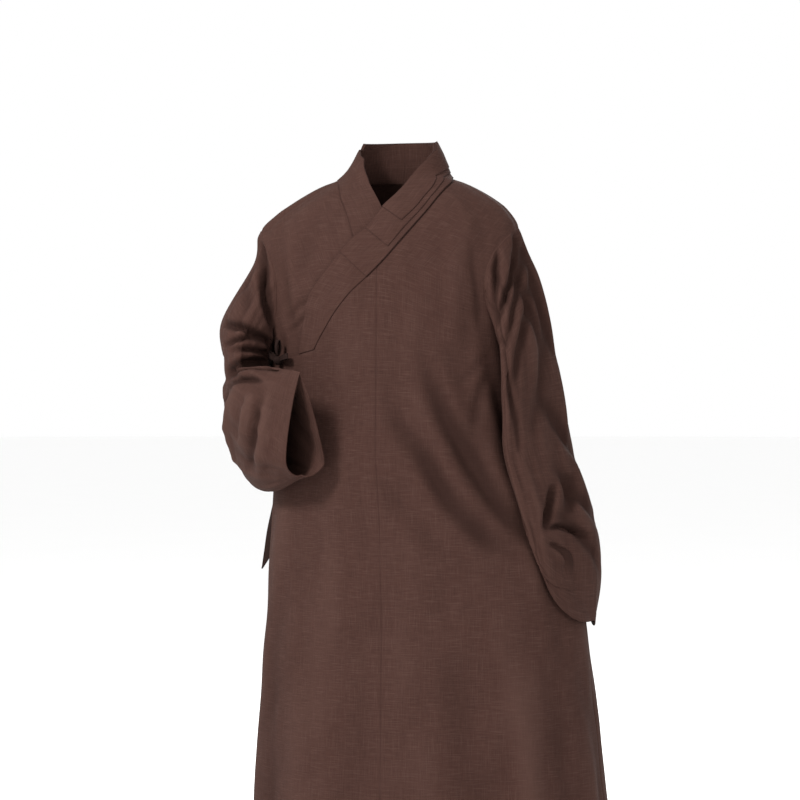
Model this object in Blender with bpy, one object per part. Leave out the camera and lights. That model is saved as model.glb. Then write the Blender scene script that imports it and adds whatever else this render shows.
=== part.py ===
"""A long crossed-over robe with wide sleeves, filled out as it is worn and open inside.

Metres, +Z up. The front faces -Y and the left side lies towards +X. The origin is the middle
of the neck, level with the shoulders, where the robe is held.

The trunk is one surface of two parameters: an angle round the body, which is 0 at the left
side, 90 degrees at the front and 180 at the right side, and a height. Every front and back
piece, the collar and its layers are regions of that surface. Each sleeve is a tube through
rings. Creases move both surfaces in and out.
"""

import math

import bpy
import numpy as np

# Cloth and seams
WALL = 0.002
BAND_WALL = 0.003
LAYER_WALL = 0.0014
SEAM_GAP = 0.0003
LAYER_GAP = 0.0006
OVERLAP_DEPTH = 0.007
SLEEVE_CLEARANCE = 0.014
CLEARANCE_RUN = 0.015

# Heights
HEM = -1.37
ARMPIT = -0.315
SHOULDER_TIP = -0.085
NECK_BASE = 0.0105
COLLAR_TOP = 0.085

# Armholes
ARMHOLE_FRONT = 0.085
ARMHOLE_BACK = 0.080

# The quarter view that places along creases and edges are measured in: across it and up
VIEW_TURN = math.radians(13.0)

# Grid of each piece
RING_CELLS = 20
SLEEVE_CELLS = 22
PANEL_CELLS = 10
BELOW_ARMPIT_CELLS = 14
SHOULDER_CELLS = 6
BAND_ACROSS = (0.0, 0.36, 0.71, 0.86, 1.0)
BAND_END_SAMPLES = 8

# Angle round the trunk at which the overlap ends near the right side, and its drop to there
OVERLAP_EDGE = math.radians(166.0)
OVERLAP_DROP = 0.025

# Lift of the overlap over the under front: full height, where it starts and its run
OVERLAP_LIFT = 0.0056
LIFT_START = math.radians(140.0)
LIFT_RUN = math.radians(24.0)
UNDER_RUN = math.radians(25.0)

# Neck corners, where the shoulder seams meet the collar, and the start of the collar layers
LEFT_CORNER = math.radians(4.0)
RIGHT_CORNER = math.radians(176.0)
LAYER_START = math.radians(-162.0)

# Collar behind the neck: cell size, and how far its top dips at each side
NECK_STEP = math.radians(9.0)
LEFT_DIP = 0.006
RIGHT_DIP = 0.016

# Creases: share of the height at their ends, and how folds deepen towards the hem
CREASE_ENDS = 0.45
FOLD_RAMP = 0.7

# Sleeve creases fade in down from the armhole and towards what the quarter view faces
CREASE_FADE_IN = 0.10
FACING_START = 0.05
FACING_RUN = 0.35

SHARP_ANGLE = math.radians(50.0)

# Trunk sections, one row each: height, middle, half width, front depth, back depth
SECTIONS = np.array([
    (-1.370, 0.070, 0.348, 0.250, 0.240),
    (-1.170, 0.069, 0.334, 0.235, 0.222),
    (-0.830, 0.062, 0.304, 0.205, 0.190),
    (-0.600, 0.040, 0.270, 0.180, 0.160),
    (-0.450, 0.018, 0.246, 0.167, 0.146),
    (-0.315, -0.003, 0.232, 0.157, 0.138),
    (-0.200, -0.009, 0.244, 0.148, 0.136),
    (-0.120, -0.012, 0.252, 0.132, 0.131),
    (-0.085, -0.012, 0.249, 0.120, 0.126),
    (-0.050, -0.007, 0.222, 0.104, 0.116),
    (-0.030, -0.004, 0.195, 0.092, 0.106),
    (-0.015, -0.002, 0.170, 0.080, 0.096),
    (0.000, -0.001, 0.140, 0.068, 0.085),
    (0.0105, 0.000, 0.112, 0.062, 0.076),
    (0.033, 0.004, 0.094, 0.058, 0.070),
    (0.060, 0.006, 0.080, 0.054, 0.065),
    (0.085, 0.006, 0.067, 0.050, 0.060),
])

# Centre-front seam, one row each: height, place across the quarter view
CENTRE_SEAM = np.array([
    (-1.370, -0.026), (-1.170, -0.026), (-0.830, -0.024), (-0.650, -0.027),
    (-0.510, -0.035), (-0.170, -0.033),
])

# Left collar band in front, one row each: free edge across and up, sewn edge across and up
LEFT_BAND = np.array([
    (0.060, 0.044, 0.109, 0.002),
    (0.041, 0.023, 0.092, -0.017),
    (0.024, -0.003, 0.073, -0.040),
    (0.005, -0.027, 0.054, -0.063),
    (-0.022, -0.051, 0.031, -0.089),
    (-0.050, -0.087, -0.001, -0.127),
    (-0.079, -0.110, -0.031, -0.160),
    (-0.130, -0.169, -0.081, -0.209),
    (-0.161, -0.215, -0.113, -0.249),
    (-0.172, -0.266, -0.136, -0.285),
    (-0.180, -0.323, -0.150, -0.315),
])

# Right collar band in front, with the same columns; its lower end lies under the left one
RIGHT_BAND = np.array([
    (-0.0625, 0.051, -0.108, 0.004),
    (-0.061, 0.032, -0.106, -0.010),
    (-0.050, 0.006, -0.102, -0.029),
    (-0.035, -0.023, -0.094, -0.051),
    (-0.022, -0.051, -0.086, -0.075),
    (-0.005, -0.085, -0.077, -0.105),
    (0.020, -0.130, -0.055, -0.160),
    (0.045, -0.180, -0.028, -0.215),
])

# Inner edge of the under front below its collar band, one row each: height, place across
UNDER_EDGE = np.array([(-1.370, 0.100), (-0.600, 0.080), (-0.360, 0.050), (-0.215, -0.028)])

# Heights at which the three collar layers end, along the sewn edge
LAYER_ENDS = (-0.0906, -0.1324, -0.182)

# Left sleeve rings, one row each: middle, outer, front, inner and back points
LEFT_SLEEVE = np.array([
    ((0.222, 0.000, -0.200), (0.225, 0.000, -0.085), (0.182, -0.085, -0.200),
     (0.213, 0.000, -0.315), (0.184, 0.080, -0.200)),
    ((0.236, 0.000, -0.243), (0.268, 0.004, -0.155), (0.215, -0.098, -0.240),
     (0.226, 0.000, -0.335), (0.220, 0.090, -0.240)),
    ((0.263, 0.000, -0.312), (0.297, 0.004, -0.252), (0.234, -0.112, -0.315),
     (0.238, 0.000, -0.372), (0.245, 0.098, -0.315)),
    ((0.286, -0.004, -0.402), (0.319, 0.004, -0.372), (0.238, -0.125, -0.412),
     (0.256, 0.000, -0.430), (0.266, 0.102, -0.405)),
    ((0.308, -0.008, -0.500), (0.341, 0.002, -0.490), (0.244, -0.135, -0.502),
     (0.274, 0.000, -0.512), (0.290, 0.102, -0.503)),
    ((0.336, -0.015, -0.610), (0.378, 0.000, -0.605), (0.272, -0.132, -0.605),
     (0.300, 0.000, -0.618), (0.326, 0.098, -0.620)),
    ((0.352, -0.010, -0.655), (0.390, 0.000, -0.702), (0.286, -0.124, -0.655),
     (0.325, 0.000, -0.690), (0.350, 0.088, -0.715)),
    ((0.365, 0.010, -0.680), (0.386, -0.010, -0.785), (0.299, -0.116, -0.696),
     (0.345, 0.000, -0.765), (0.372, 0.075, -0.790)),
])

# Right sleeve rings, with the same columns; the elbow is bent and the cuff is in front
RIGHT_SLEEVE = np.array([
    ((-0.232, 0.000, -0.200), (-0.245, 0.000, -0.085), (-0.198, -0.085, -0.200),
     (-0.219, 0.000, -0.315), (-0.200, 0.080, -0.200)),
    ((-0.254, 0.000, -0.240), (-0.279, 0.000, -0.152), (-0.236, -0.102, -0.232),
     (-0.232, 0.000, -0.333), (-0.240, 0.086, -0.242)),
    ((-0.284, -0.004, -0.300), (-0.341, 0.000, -0.262), (-0.262, -0.128, -0.300),
     (-0.242, 0.000, -0.362), (-0.274, 0.090, -0.318)),
    ((-0.286, -0.020, -0.362), (-0.330, -0.020, -0.345), (-0.262, -0.140, -0.344),
     (-0.247, -0.010, -0.384), (-0.296, 0.082, -0.412)),
    ((-0.284, -0.050, -0.412), (-0.322, -0.052, -0.400), (-0.248, -0.156, -0.350),
     (-0.243, -0.030, -0.424), (-0.311, 0.040, -0.505)),
    ((-0.246, -0.112, -0.432), (-0.288, -0.132, -0.424), (-0.214, -0.176, -0.346),
     (-0.206, -0.090, -0.440), (-0.272, -0.038, -0.566)),
    ((-0.194, -0.166, -0.438), (-0.232, -0.198, -0.436), (-0.170, -0.208, -0.348),
     (-0.157, -0.142, -0.450), (-0.204, -0.124, -0.580)),
    ((-0.132, -0.214, -0.440), (-0.152, -0.238, -0.450), (-0.127, -0.236, -0.350),
     (-0.106, -0.196, -0.452), (-0.133, -0.200, -0.557)),
])

# Long creases of the trunk, one row each: three points across and up, half width, height
TRUNK_CREASES = np.array([
    (0.052, -0.357, 0.140, -0.532, 0.250, -0.670, 0.022, -0.007),
    (-0.007, -0.435, 0.090, -0.589, 0.205, -0.690, 0.022, -0.006),
    (0.090, -0.400, 0.170, -0.540, 0.255, -0.655, 0.018, 0.004),
    (0.170, -0.070, 0.150, -0.190, 0.160, -0.310, 0.018, -0.008),
    (-0.198, -0.560, -0.220, -0.690, -0.240, -0.826, 0.018, 0.006),
])

# Folds that hang to the hem, one row each: angle and half width in degrees, top, height
HEM_FOLDS = np.array([
    (14.0, 7.0, -0.60, 0.006), (30.0, 7.0, -0.75, -0.009), (46.0, 8.0, -0.70, 0.008),
    (64.0, 9.0, -0.80, -0.006), (86.0, 10.0, -0.85, 0.006), (108.0, 9.0, -0.75, -0.007),
    (128.0, 9.0, -0.70, 0.008), (148.0, 8.0, -0.65, -0.008), (168.0, 8.0, -0.70, 0.002),
    (198.0, 8.0, -0.50, 0.012), (214.0, 8.0, -0.40, -0.012), (232.0, 9.0, -0.45, 0.013),
    (252.0, 9.0, -0.35, -0.013), (270.0, 9.0, -0.40, 0.012), (289.0, 9.0, -0.35, -0.012),
    (308.0, 9.0, -0.45, 0.013), (326.0, 8.0, -0.50, -0.011), (343.0, 8.0, -0.55, 0.010),
])

# Sleeve creases seen from the front, with the columns of the trunk's long creases
LEFT_SLEEVE_CREASES = np.array([
    (0.218, -0.072, 0.222, -0.160, 0.180, -0.272, 0.014, -0.009),
    (0.242, -0.105, 0.232, -0.190, 0.206, -0.305, 0.014, -0.008),
    (0.259, -0.171, 0.243, -0.260, 0.220, -0.390, 0.014, -0.007),
    (0.297, -0.562, 0.284, -0.612, 0.269, -0.655, 0.014, -0.012),
    (0.284, -0.642, 0.330, -0.650, 0.366, -0.663, 0.013, -0.009),
])
RIGHT_SLEEVE_CREASES = np.array([
    (-0.256, -0.115, -0.252, -0.190, -0.218, -0.300, 0.014, -0.013),
    (-0.330, -0.264, -0.286, -0.274, -0.226, -0.312, 0.013, -0.011),
    (-0.318, -0.366, -0.270, -0.334, -0.205, -0.350, 0.015, -0.014),
    (-0.265, -0.400, -0.276, -0.446, -0.288, -0.492, 0.012, 0.006),
    (-0.237, -0.405, -0.246, -0.475, -0.256, -0.545, 0.012, 0.006),
])

# Ties
TIE_KNOT_ANGLE = math.radians(147.0)
TIE_KNOT_HEIGHT = -0.334
TIE_KNOT_OUT = 0.0104
TIE_KNOT_RADIUS = 0.009
TIE_LOOP_LENGTH = 0.030
TIE_LOOP_WIDTH = 0.011
TIE_LOOP_DEPTH = 0.0095
TIE_LOOP_WALL = 0.001
TIE_LOOP_TURNS = (12.0, 86.0, 160.0)
KNOT_BUTTON_ANGLE = math.radians(176.0)
KNOT_BUTTON_HEIGHT = -0.645
KNOT_BUTTON_RADIUS = 0.0045

# Long side tie, one row each: height, then angle in degrees and distance out of both edges
SIDE_TIE = np.array([
    (-0.380, 181.0, 0.0023, 189.0, 0.0023), (-0.470, 181.0, 0.0023, 189.0, 0.0023),
    (-0.545, 181.0, 0.0023, 188.0, 0.0060), (-0.600, 180.5, 0.0030, 186.0, 0.0140),
    (-0.655, 180.5, 0.0040, 183.5, 0.0240), (-0.700, 180.5, 0.0080, 182.5, 0.0270),
    (-0.735, 181.0, 0.0270, 182.0, 0.0290),
])
SIDE_TIE_WALL = 0.0016

CLOTH_COLOUR = (0.105, 0.055, 0.043, 1.0)
BAND_COLOUR = (0.098, 0.051, 0.040, 1.0)
TIE_COLOUR = (0.060, 0.033, 0.028, 1.0)
CLOTH_ROUGHNESS = 0.85


def clear_scene():
    """Remove every object of the open scene."""
    for item in list(bpy.data.objects):
        bpy.data.objects.remove(item, do_unlink=True)


def cloth_material(name, colour):
    """Matt cloth of one colour."""
    material = bpy.data.materials.new(name)
    material.use_nodes = True
    shader = material.node_tree.nodes["Principled BSDF"]
    shader.inputs["Base Color"].default_value = colour
    shader.inputs["Roughness"].default_value = CLOTH_ROUGHNESS
    shader.inputs["Metallic"].default_value = 0.0
    return material


def smooth_step(value):
    """Rise from 0 to 1 as the value goes from 0 to 1, level at both ends."""
    value = np.clip(value, 0.0, 1.0)
    return value * value * (3.0 - 2.0 * value)


def unit(vectors):
    """Each vector over its own length."""
    length = np.linalg.norm(vectors, axis=-1, keepdims=True)
    return vectors / np.maximum(length, 1e-12)


def through(places, known, values):
    """Cubic through known values that never overshoots them."""
    step = np.diff(known)
    slope = np.diff(values) / step
    inner = np.where(slope[:-1] * slope[1:] > 0,
                     2.0 * slope[:-1] * slope[1:] / (slope[:-1] + slope[1:] + 1e-30), 0.0)
    tangent = np.concatenate([slope[:1], inner, slope[-1:]])
    index = np.clip(np.searchsorted(known, places) - 1, 0, len(known) - 2)
    part = (places - known[index]) / step[index]
    part = np.clip(part, 0.0, 1.0)
    rise = smooth_step(part)
    start = part * (1.0 - part) ** 2 * step[index] * tangent[index]
    end = part ** 2 * (part - 1.0) * step[index] * tangent[index + 1]
    return values[index] * (1.0 - rise) + values[index + 1] * rise + start + end


def section(height):
    """Middle, half width, front depth and back depth of the trunk at a height."""
    height = np.asarray(height, dtype=float)
    return [through(height, SECTIONS[:, 0], SECTIONS[:, column]) for column in range(1, 5)]


def trunk_plain(angle, height):
    """Half ellipse in front and another behind, at each height."""
    middle, width, front, back = section(height)
    depth = np.where(np.sin(angle) > 0.0, front, back)
    return np.stack([middle + width * np.cos(angle), -depth * np.sin(angle),
                     height + 0.0 * angle], axis=-1)


def across_view(points):
    """Place of each point across the quarter view."""
    return points[..., 0] * math.cos(VIEW_TURN) + points[..., 1] * math.sin(VIEW_TURN)


def view_angle(across, height):
    """Angle of the front point that lies at this place across the quarter view."""
    middle, width, front, _ = section(height)
    wide = width * math.cos(VIEW_TURN)
    deep = front * math.sin(VIEW_TURN)
    reach = np.hypot(wide, deep)
    offset = np.clip((across - middle * math.cos(VIEW_TURN)) / reach, -1.0, 1.0)
    return np.arccos(offset) - np.arctan2(deep, wide)


def crease_height(across, height, creases):
    """Sum of creases: each falls off by its half width from a path of two straight runs."""
    total = np.zeros(np.shape(across))
    for row in creases:
        nearest = np.full(np.shape(across), 1e9)
        ends = row[:6].reshape(3, 2)
        along_done = 0.0
        run = np.linalg.norm(np.diff(ends, axis=0), axis=1)
        place = np.zeros(np.shape(across))
        for start, end, length in zip(ends[:-1], ends[1:], run):
            way = (end - start) / length
            along = (across - start[0]) * way[0] + (height - start[1]) * way[1]
            along = np.clip(along, 0.0, length)
            gap = np.hypot(across - start[0] - along * way[0], height - start[1] - along * way[1])
            place = np.where(gap < nearest, (along_done + along) / run.sum(), place)
            nearest = np.minimum(nearest, gap)
            along_done += length
        fade = CREASE_ENDS + (1.0 - CREASE_ENDS) * np.sin(math.pi * place)
        total += row[7] * fade * np.exp(-(nearest / row[6]) ** 2)
    return total


def trunk_relief(angle, height):
    """Height of the trunk's folds over its plain form."""
    turn = np.degrees(angle)
    total = np.zeros(np.shape(turn + height))
    for middle, spread, top, rise in HEM_FOLDS:
        away = (turn - middle + 180.0) % 360.0 - 180.0
        depth = smooth_step((top - height) / (top - HEM)) ** FOLD_RAMP
        total += rise * depth * np.exp(-(away / spread) ** 2)
    plain = trunk_plain(angle, height)
    front = smooth_step((np.sin(angle) - 0.12) / 0.25)
    return total + front * crease_height(across_view(plain), plain[..., 2], TRUNK_CREASES)


def trunk(angle, height, out=0.0):
    """Point of the trunk moved out along its normal by its folds and a distance, and the normal."""
    angle, height = np.broadcast_arrays(np.asarray(angle, float), np.asarray(height, float))
    turn = 1e-4
    rise = 1e-5
    low = np.maximum(height - rise, SECTIONS[0, 0])
    high = np.minimum(height + rise, SECTIONS[-1, 0])
    round_way = trunk_plain(angle + turn, height) - trunk_plain(angle - turn, height)
    up_way = trunk_plain(angle, high) - trunk_plain(angle, low)
    normal = unit(np.cross(up_way, round_way))
    offset = np.asarray(trunk_relief(angle, height) + out)
    return trunk_plain(angle, height) + offset[..., None] * normal, normal


def armhole(side, ring):
    """Angle and height of the armhole at each ring angle: 0 at its top, 90 degrees in front."""
    middle = 0.5 * (ARMPIT + SHOULDER_TIP)
    height = middle + 0.5 * (SHOULDER_TIP - ARMPIT) * np.cos(ring)
    _, _, front, back = section(height)
    ahead = np.sin(ring) > 0.0
    reach = np.where(ahead, ARMHOLE_FRONT * np.sin(ring) / front, ARMHOLE_BACK * np.sin(ring) / back)
    angle = np.arcsin(reach)
    return (angle if side > 0 else math.pi - angle), height


def ring_angles():
    """Angles round a sleeve ring."""
    return np.arange(RING_CELLS) * 2.0 * math.pi / RING_CELLS


def along_rows(table, places):
    """Smooth curve through the rows of a table, with one place from 0 to 1 for each point."""
    rows = len(table)
    spot = np.clip(places, 0.0, 1.0) * (rows - 1)
    index = np.minimum(spot.astype(int), rows - 2)
    part = (spot - index).reshape(-1, *([1] * (table.ndim - 1)))
    before = table[np.maximum(index - 1, 0)]
    start = table[index]
    end = table[index + 1]
    after = table[np.minimum(index + 2, rows - 1)]
    return 0.5 * (2.0 * start + (end - before) * part
                  + (2.0 * before - 5.0 * start + 4.0 * end - after) * part ** 2
                  + (3.0 * start - before - 3.0 * end + after) * part ** 3)


def clear_of_trunk(points, reach):
    """Points moved level and outwards clear of the trunk, the more so away from the armhole."""
    middle, width, front, back = section(points[..., 2])
    depth = np.where(points[..., 1] < 0.0, front, back)
    aside = points[..., 0] - middle
    ratio = np.sqrt((aside / width) ** 2 + (points[..., 1] / depth) ** 2)
    wanted = 1.0 + SLEEVE_CLEARANCE / depth * (1.0 - np.exp(-reach / CLEARANCE_RUN))
    grow = np.where(ratio < wanted, wanted / np.maximum(ratio, 1e-6), 1.0)
    moved = points.copy()
    moved[..., 0] = middle + aside * grow
    moved[..., 1] = points[..., 1] * grow
    return moved


def grid_normals(points, closed):
    """Normals of a grid from the differences between its neighbours."""
    along = np.gradient(points, axis=0)
    if closed:
        around = np.roll(points, -1, axis=1) - np.roll(points, 1, axis=1)
    else:
        around = np.gradient(points, axis=1)
    return unit(np.cross(along, around))


def sleeve_surface(side, table, creases):
    """Rings through the table's points, joined to the armhole, clear of the trunk and creased."""
    ring = ring_angles()
    places = np.linspace(0.0, 1.0, SLEEVE_CELLS + 1)
    rows = along_rows(table, places)
    middle = rows[:, None, 0]
    weights = (np.maximum(np.cos(ring), 0.0), np.maximum(np.sin(ring), 0.0),
               np.maximum(-np.cos(ring), 0.0), np.maximum(-np.sin(ring), 0.0))
    points = middle + sum(weight[None, :, None] * (rows[:, None, column] - middle)
                          for column, weight in enumerate(weights, start=1))
    angle, height = armhole(side, ring)
    seam, _ = trunk(angle, height)
    join = 1.0 - smooth_step(places * (len(table) - 1))
    points = points + join[:, None, None] * (seam - points[0])[None]
    reach = np.linalg.norm(points - seam[None], axis=-1)
    points = np.concatenate([points[:1], clear_of_trunk(points[1:], reach[1:])])
    normals = grid_normals(points, closed=True)
    outward = np.sum(normals * (points - middle), axis=-1).mean() > 0.0
    normals = normals if outward else -normals
    to_view = np.array([math.sin(VIEW_TURN), -math.cos(VIEW_TURN), 0.0])
    facing = smooth_step((normals @ to_view - FACING_START) / FACING_RUN)
    grown = smooth_step(places / CREASE_FADE_IN)[:, None]
    relief = facing * grown * crease_height(across_view(points), points[..., 2], creases)
    points = points + relief[..., None] * normals
    finished = grid_normals(points, closed=True)
    finished = finished if outward else -finished
    return points, finished


def pull_in(points, amount, sides):
    """Shift that draws the chosen edge rows and columns of a grid towards its inside."""
    shift = np.zeros(points.shape)
    if "first_row" in sides:
        shift[0] += amount * unit(points[1] - points[0])
    if "last_row" in sides:
        shift[-1] += amount * unit(points[-2] - points[-1])
    if "first_column" in sides:
        shift[:, 0] += amount * unit(points[:, 1] - points[:, 0])
    if "last_column" in sides:
        shift[:, -1] += amount * unit(points[:, -2] - points[:, -1])
    return shift


def shell_object(name, outer, inner, closed, material):
    """Closed wall between two grids, with a rim round every open edge."""
    rows, columns = outer.shape[:2]
    index = np.arange(rows * columns).reshape(rows, columns)
    if closed:
        index = np.concatenate([index, index[:, :1]], axis=1)
    first, second = index[:-1, :-1].ravel(), index[:-1, 1:].ravel()
    third, fourth = index[1:, 1:].ravel(), index[1:, :-1].ravel()
    faces = np.concatenate([np.stack([first, second, third], 1), np.stack([first, third, fourth], 1)])
    inside = faces[:, ::-1] + rows * columns
    edges = [index[0], index[-1][::-1]]
    if not closed:
        edges += [index[:, 0][::-1], index[:, -1]]
    rims = []
    for edge in edges:
        near, far = edge[:-1], edge[1:]
        below_near, below_far = near + rows * columns, far + rows * columns
        rims.append(np.stack([far, near, below_near], 1))
        rims.append(np.stack([far, below_near, below_far], 1))
    faces = np.concatenate([faces, inside] + rims)
    points = np.concatenate([outer.reshape(-1, 3), inner.reshape(-1, 3)])
    corners = points[faces]
    volume = np.sum(np.cross(corners[:, 0], corners[:, 1]) * corners[:, 2])
    if volume < 0.0:
        faces = faces[:, ::-1]
    mesh = bpy.data.meshes.new(name)
    mesh.from_pydata(points.tolist(), [], faces.tolist())
    mesh.shade_smooth()
    mesh.set_sharp_from_angle(angle=SHARP_ANGLE)
    mesh.materials.append(material)
    piece = bpy.data.objects.new(name, mesh)
    bpy.context.scene.collection.objects.link(piece)
    return piece


def panel_heights():
    """Heights of the panel rows: below the armpit, along the armhole, and over the shoulder."""
    below = np.linspace(HEM, ARMPIT, BELOW_ARMPIT_CELLS + 1)
    half = RING_CELLS // 2
    _, hole = armhole(1.0, np.linspace(math.pi, 0.0, half + 1))
    above = np.linspace(SHOULDER_TIP, NECK_BASE, SHOULDER_CELLS + 1)
    return np.concatenate([below, hole[1:], above[1:]])


def armhole_rows():
    """Which panel rows lie on the armhole, from the armpit to the shoulder tip."""
    return slice(BELOW_ARMPIT_CELLS, BELOW_ARMPIT_CELLS + RING_CELLS // 2 + 1)


def side_angles(side, front):
    """Angle of a panel's outer edge in each row: side seam, armhole, then shoulder seam."""
    level = 0.0 if side > 0 else math.pi
    edge = np.full(len(panel_heights()), level)
    half = RING_CELLS // 2
    sweep = np.linspace(math.pi, 0.0, half + 1) * (1.0 if front else -1.0)
    edge[armhole_rows()] = armhole(side, sweep)[0]
    return edge


def band_curve(table, height):
    """Sewn and free edge of a collar band at heights of its sewn edge, as angle and height."""
    fine = along_rows(table, np.linspace(0.0, 1.0, 400))
    order = np.argsort(fine[:, 3])
    free_across, free_up, sewn_across = [
        np.interp(height, fine[order, 3], fine[order, column]) for column in range(3)]
    sewn = np.stack([view_angle(sewn_across, height), height + 0.0 * sewn_across], -1)
    free = np.stack([view_angle(free_across, free_up), free_up], -1)
    return sewn, free


def under_inset(angle, height):
    """Depth of the under front below the trunk: none at its seams, full where it is covered."""
    edge = np.interp(height, panel_heights(), side_angles(-1.0, True))
    away = np.clip(edge - angle, 0.0, None)
    return OVERLAP_DEPTH * smooth_step(away / UNDER_RUN)


def mitres(side, sleeve_normals):
    """Shared normals round an armhole, halfway between the trunk's and the sleeve's."""
    angle, height = armhole(side, ring_angles())
    _, normal = trunk(angle, height)
    return unit(normal + sleeve_normals[0])


def build_panel(name, side, front, inner_angles, material, ring_mitre, inset=None):
    """Front or back piece between its outer edge and the given inner edge."""
    height = panel_heights()
    edge = side_angles(side, front)
    part = np.linspace(0.0, 1.0, PANEL_CELLS + 1)[None, :]
    angle = edge[:, None] + part * (inner_angles - edge)[:, None]
    height = height[:, None] + 0.0 * part
    depth = inset(angle, height) if inset else np.zeros(angle.shape)
    outer, normals = trunk(angle, height, -depth)
    half = RING_CELLS // 2
    ring = np.arange(half, -1, -1) * (1 if front else -1) % RING_CELLS
    normals[armhole_rows(), 0] = ring_mitre[ring]
    shift = pull_in(outer, 0.5 * SEAM_GAP, ("last_row", "first_column", "last_column"))
    return shell_object(name, outer + shift, outer - WALL * normals + shift, False, material)


def centre_angles(height):
    """Angle of the centre-front seam at each height."""
    return view_angle(np.interp(height, CENTRE_SEAM[:, 0], CENTRE_SEAM[:, 1]), height)


def seam_corner_row():
    """Row at which the centre-front seam meets the collar band."""
    height = panel_heights()
    sewn, _ = band_curve(LEFT_BAND, height)
    meets = sewn[:, 0] >= centre_angles(height)
    return int(np.nonzero(meets & (height > LEFT_BAND[-1, 3]))[0][-1])


def build_front_left(material, ring_mitre):
    """Left front, from the centre seam to the left side, below the collar band."""
    height = panel_heights()
    corner = seam_corner_row()
    inner = centre_angles(height)
    sewn, _ = band_curve(LEFT_BAND, height)
    inner[corner + 1:] = sewn[corner + 1:, 0]
    inner[-1] = LEFT_CORNER
    return build_panel("front_left", 1.0, True, inner, material, ring_mitre)


def overlap_top():
    """Upper edge of the overlap: the band's sewn edge, then a slope to the right side."""
    corner = panel_heights()[seam_corner_row()]
    along_band = np.linspace(corner, LEFT_BAND[-1, 3], BAND_END_SAMPLES)
    sewn, free = band_curve(LEFT_BAND, along_band)
    sewn[0, 0] = centre_angles(np.array([corner]))[0]
    across = np.array(BAND_ACROSS[-2::-1])[:, None]
    band_end = free[-1] + across * (sewn[-1] - free[-1])
    part = np.linspace(0.0, 1.0, 4)[1:, None]
    last = np.array([OVERLAP_EDGE, ARMPIT - OVERLAP_DROP])
    return np.concatenate([sewn, band_end, free[-1] + part * (last - free[-1])])


def overlap_out(angle):
    """Extra height of the overlap near its free edge, where the under front rises to its seam."""
    return OVERLAP_LIFT * smooth_step((angle - LIFT_START) / LIFT_RUN)


def build_front_overlap(material):
    """Outer right front that hangs from the collar band, over the under front."""
    top = overlap_top()
    rows = panel_heights()[:seam_corner_row() + 1]
    part = ((rows - HEM) / (rows[-1] - HEM))[:, None]
    height = HEM + part * (top[:, 1] - HEM)[None, :]
    share = (top[:, 0] - top[0, 0]) / (top[-1, 0] - top[0, 0])
    first = centre_angles(height[:, 0])[:, None]
    angle = first + share[None, :] * (top[-1, 0] - first)
    outer, normals = trunk(angle, height, overlap_out(angle))
    shift = pull_in(outer, 0.5 * SEAM_GAP, ("last_row", "first_column"))
    return shell_object("front_overlap", outer + shift, outer - WALL * normals + shift, False, material)


def build_front_right(material, ring_mitre):
    """Under front, from the right side and shoulder across the centre, below its band."""
    height = panel_heights()
    inner = view_angle(np.interp(height, UNDER_EDGE[:, 0], UNDER_EDGE[:, 1]), height)
    sewn, _ = band_curve(RIGHT_BAND, height)
    above = height >= RIGHT_BAND[-1, 3]
    inner[above] = sewn[above, 0]
    inner[-1] = RIGHT_CORNER
    return build_panel("front_right", -1.0, True, inner, material, ring_mitre, inset=under_inset)


def build_back(name, side, material, ring_mitre):
    """Half of the back, from the centre-back seam to the side, the armhole and the shoulder."""
    centre = -0.5 * math.pi if side > 0 else 1.5 * math.pi
    inner = np.full(len(panel_heights()), centre)
    return build_panel(name, side, False, inner, material, ring_mitre)


def build_sleeve(name, side, surface, ring_mitre, material):
    """Sleeve wall, with its first ring drawn back from the armhole seam."""
    points, normals = surface
    normals = normals.copy()
    normals[0] = ring_mitre
    shift = pull_in(points, 0.5 * SEAM_GAP, ("first_row",))
    return shell_object(name, points + shift, points - WALL * normals + shift, True, material)


def neck_path(side, start):
    """Sewn and free edge round the back of the neck, from a start angle to the side."""
    end = 0.0 if side > 0 else math.pi
    cells = int(round(abs(end - start) / NECK_STEP))
    angle = np.linspace(start, end, cells + 1)
    rise = COLLAR_TOP - (LEFT_DIP if side > 0 else RIGHT_DIP) * np.cos(angle) ** 2
    sewn = np.stack([angle, np.full(angle.shape, NECK_BASE)], -1)
    return sewn, np.stack([angle, rise], -1)


def left_path(start):
    """Edges of the left collar band from a start angle behind the neck to its lower end."""
    sewn_neck, free_neck = neck_path(1.0, start)
    height = panel_heights()
    corner = seam_corner_row()
    sewn, free = band_curve(LEFT_BAND, height[corner:-1][::-1])
    sewn[-1, 0] = centre_angles(height[corner:corner + 1])[0]
    lower = overlap_top()[1:BAND_END_SAMPLES]
    sewn_low, free_low = band_curve(LEFT_BAND, lower[:, 1])
    edge = np.array([[LEFT_CORNER, NECK_BASE]])
    edge_free = 0.5 * (free_neck[-1:] + free[:1])
    return (np.concatenate([sewn_neck[:-1], edge, sewn, sewn_low]),
            np.concatenate([free_neck[:-1], edge_free, free, free_low]))


def right_path():
    """Edges of the right collar band from the centre back to its hidden lower end."""
    sewn_neck, free_neck = neck_path(-1.0, 1.5 * math.pi)
    height = panel_heights()
    rows = height[(height >= RIGHT_BAND[-1, 3]) & (height < NECK_BASE)][::-1]
    sewn, free = band_curve(RIGHT_BAND, rows)
    edge = np.array([[RIGHT_CORNER, NECK_BASE]])
    edge_free = 0.5 * (free_neck[-1:] + free[:1])
    return (np.concatenate([sewn_neck[:-1], edge, sewn]),
            np.concatenate([free_neck[:-1], edge_free, free]))


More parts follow.
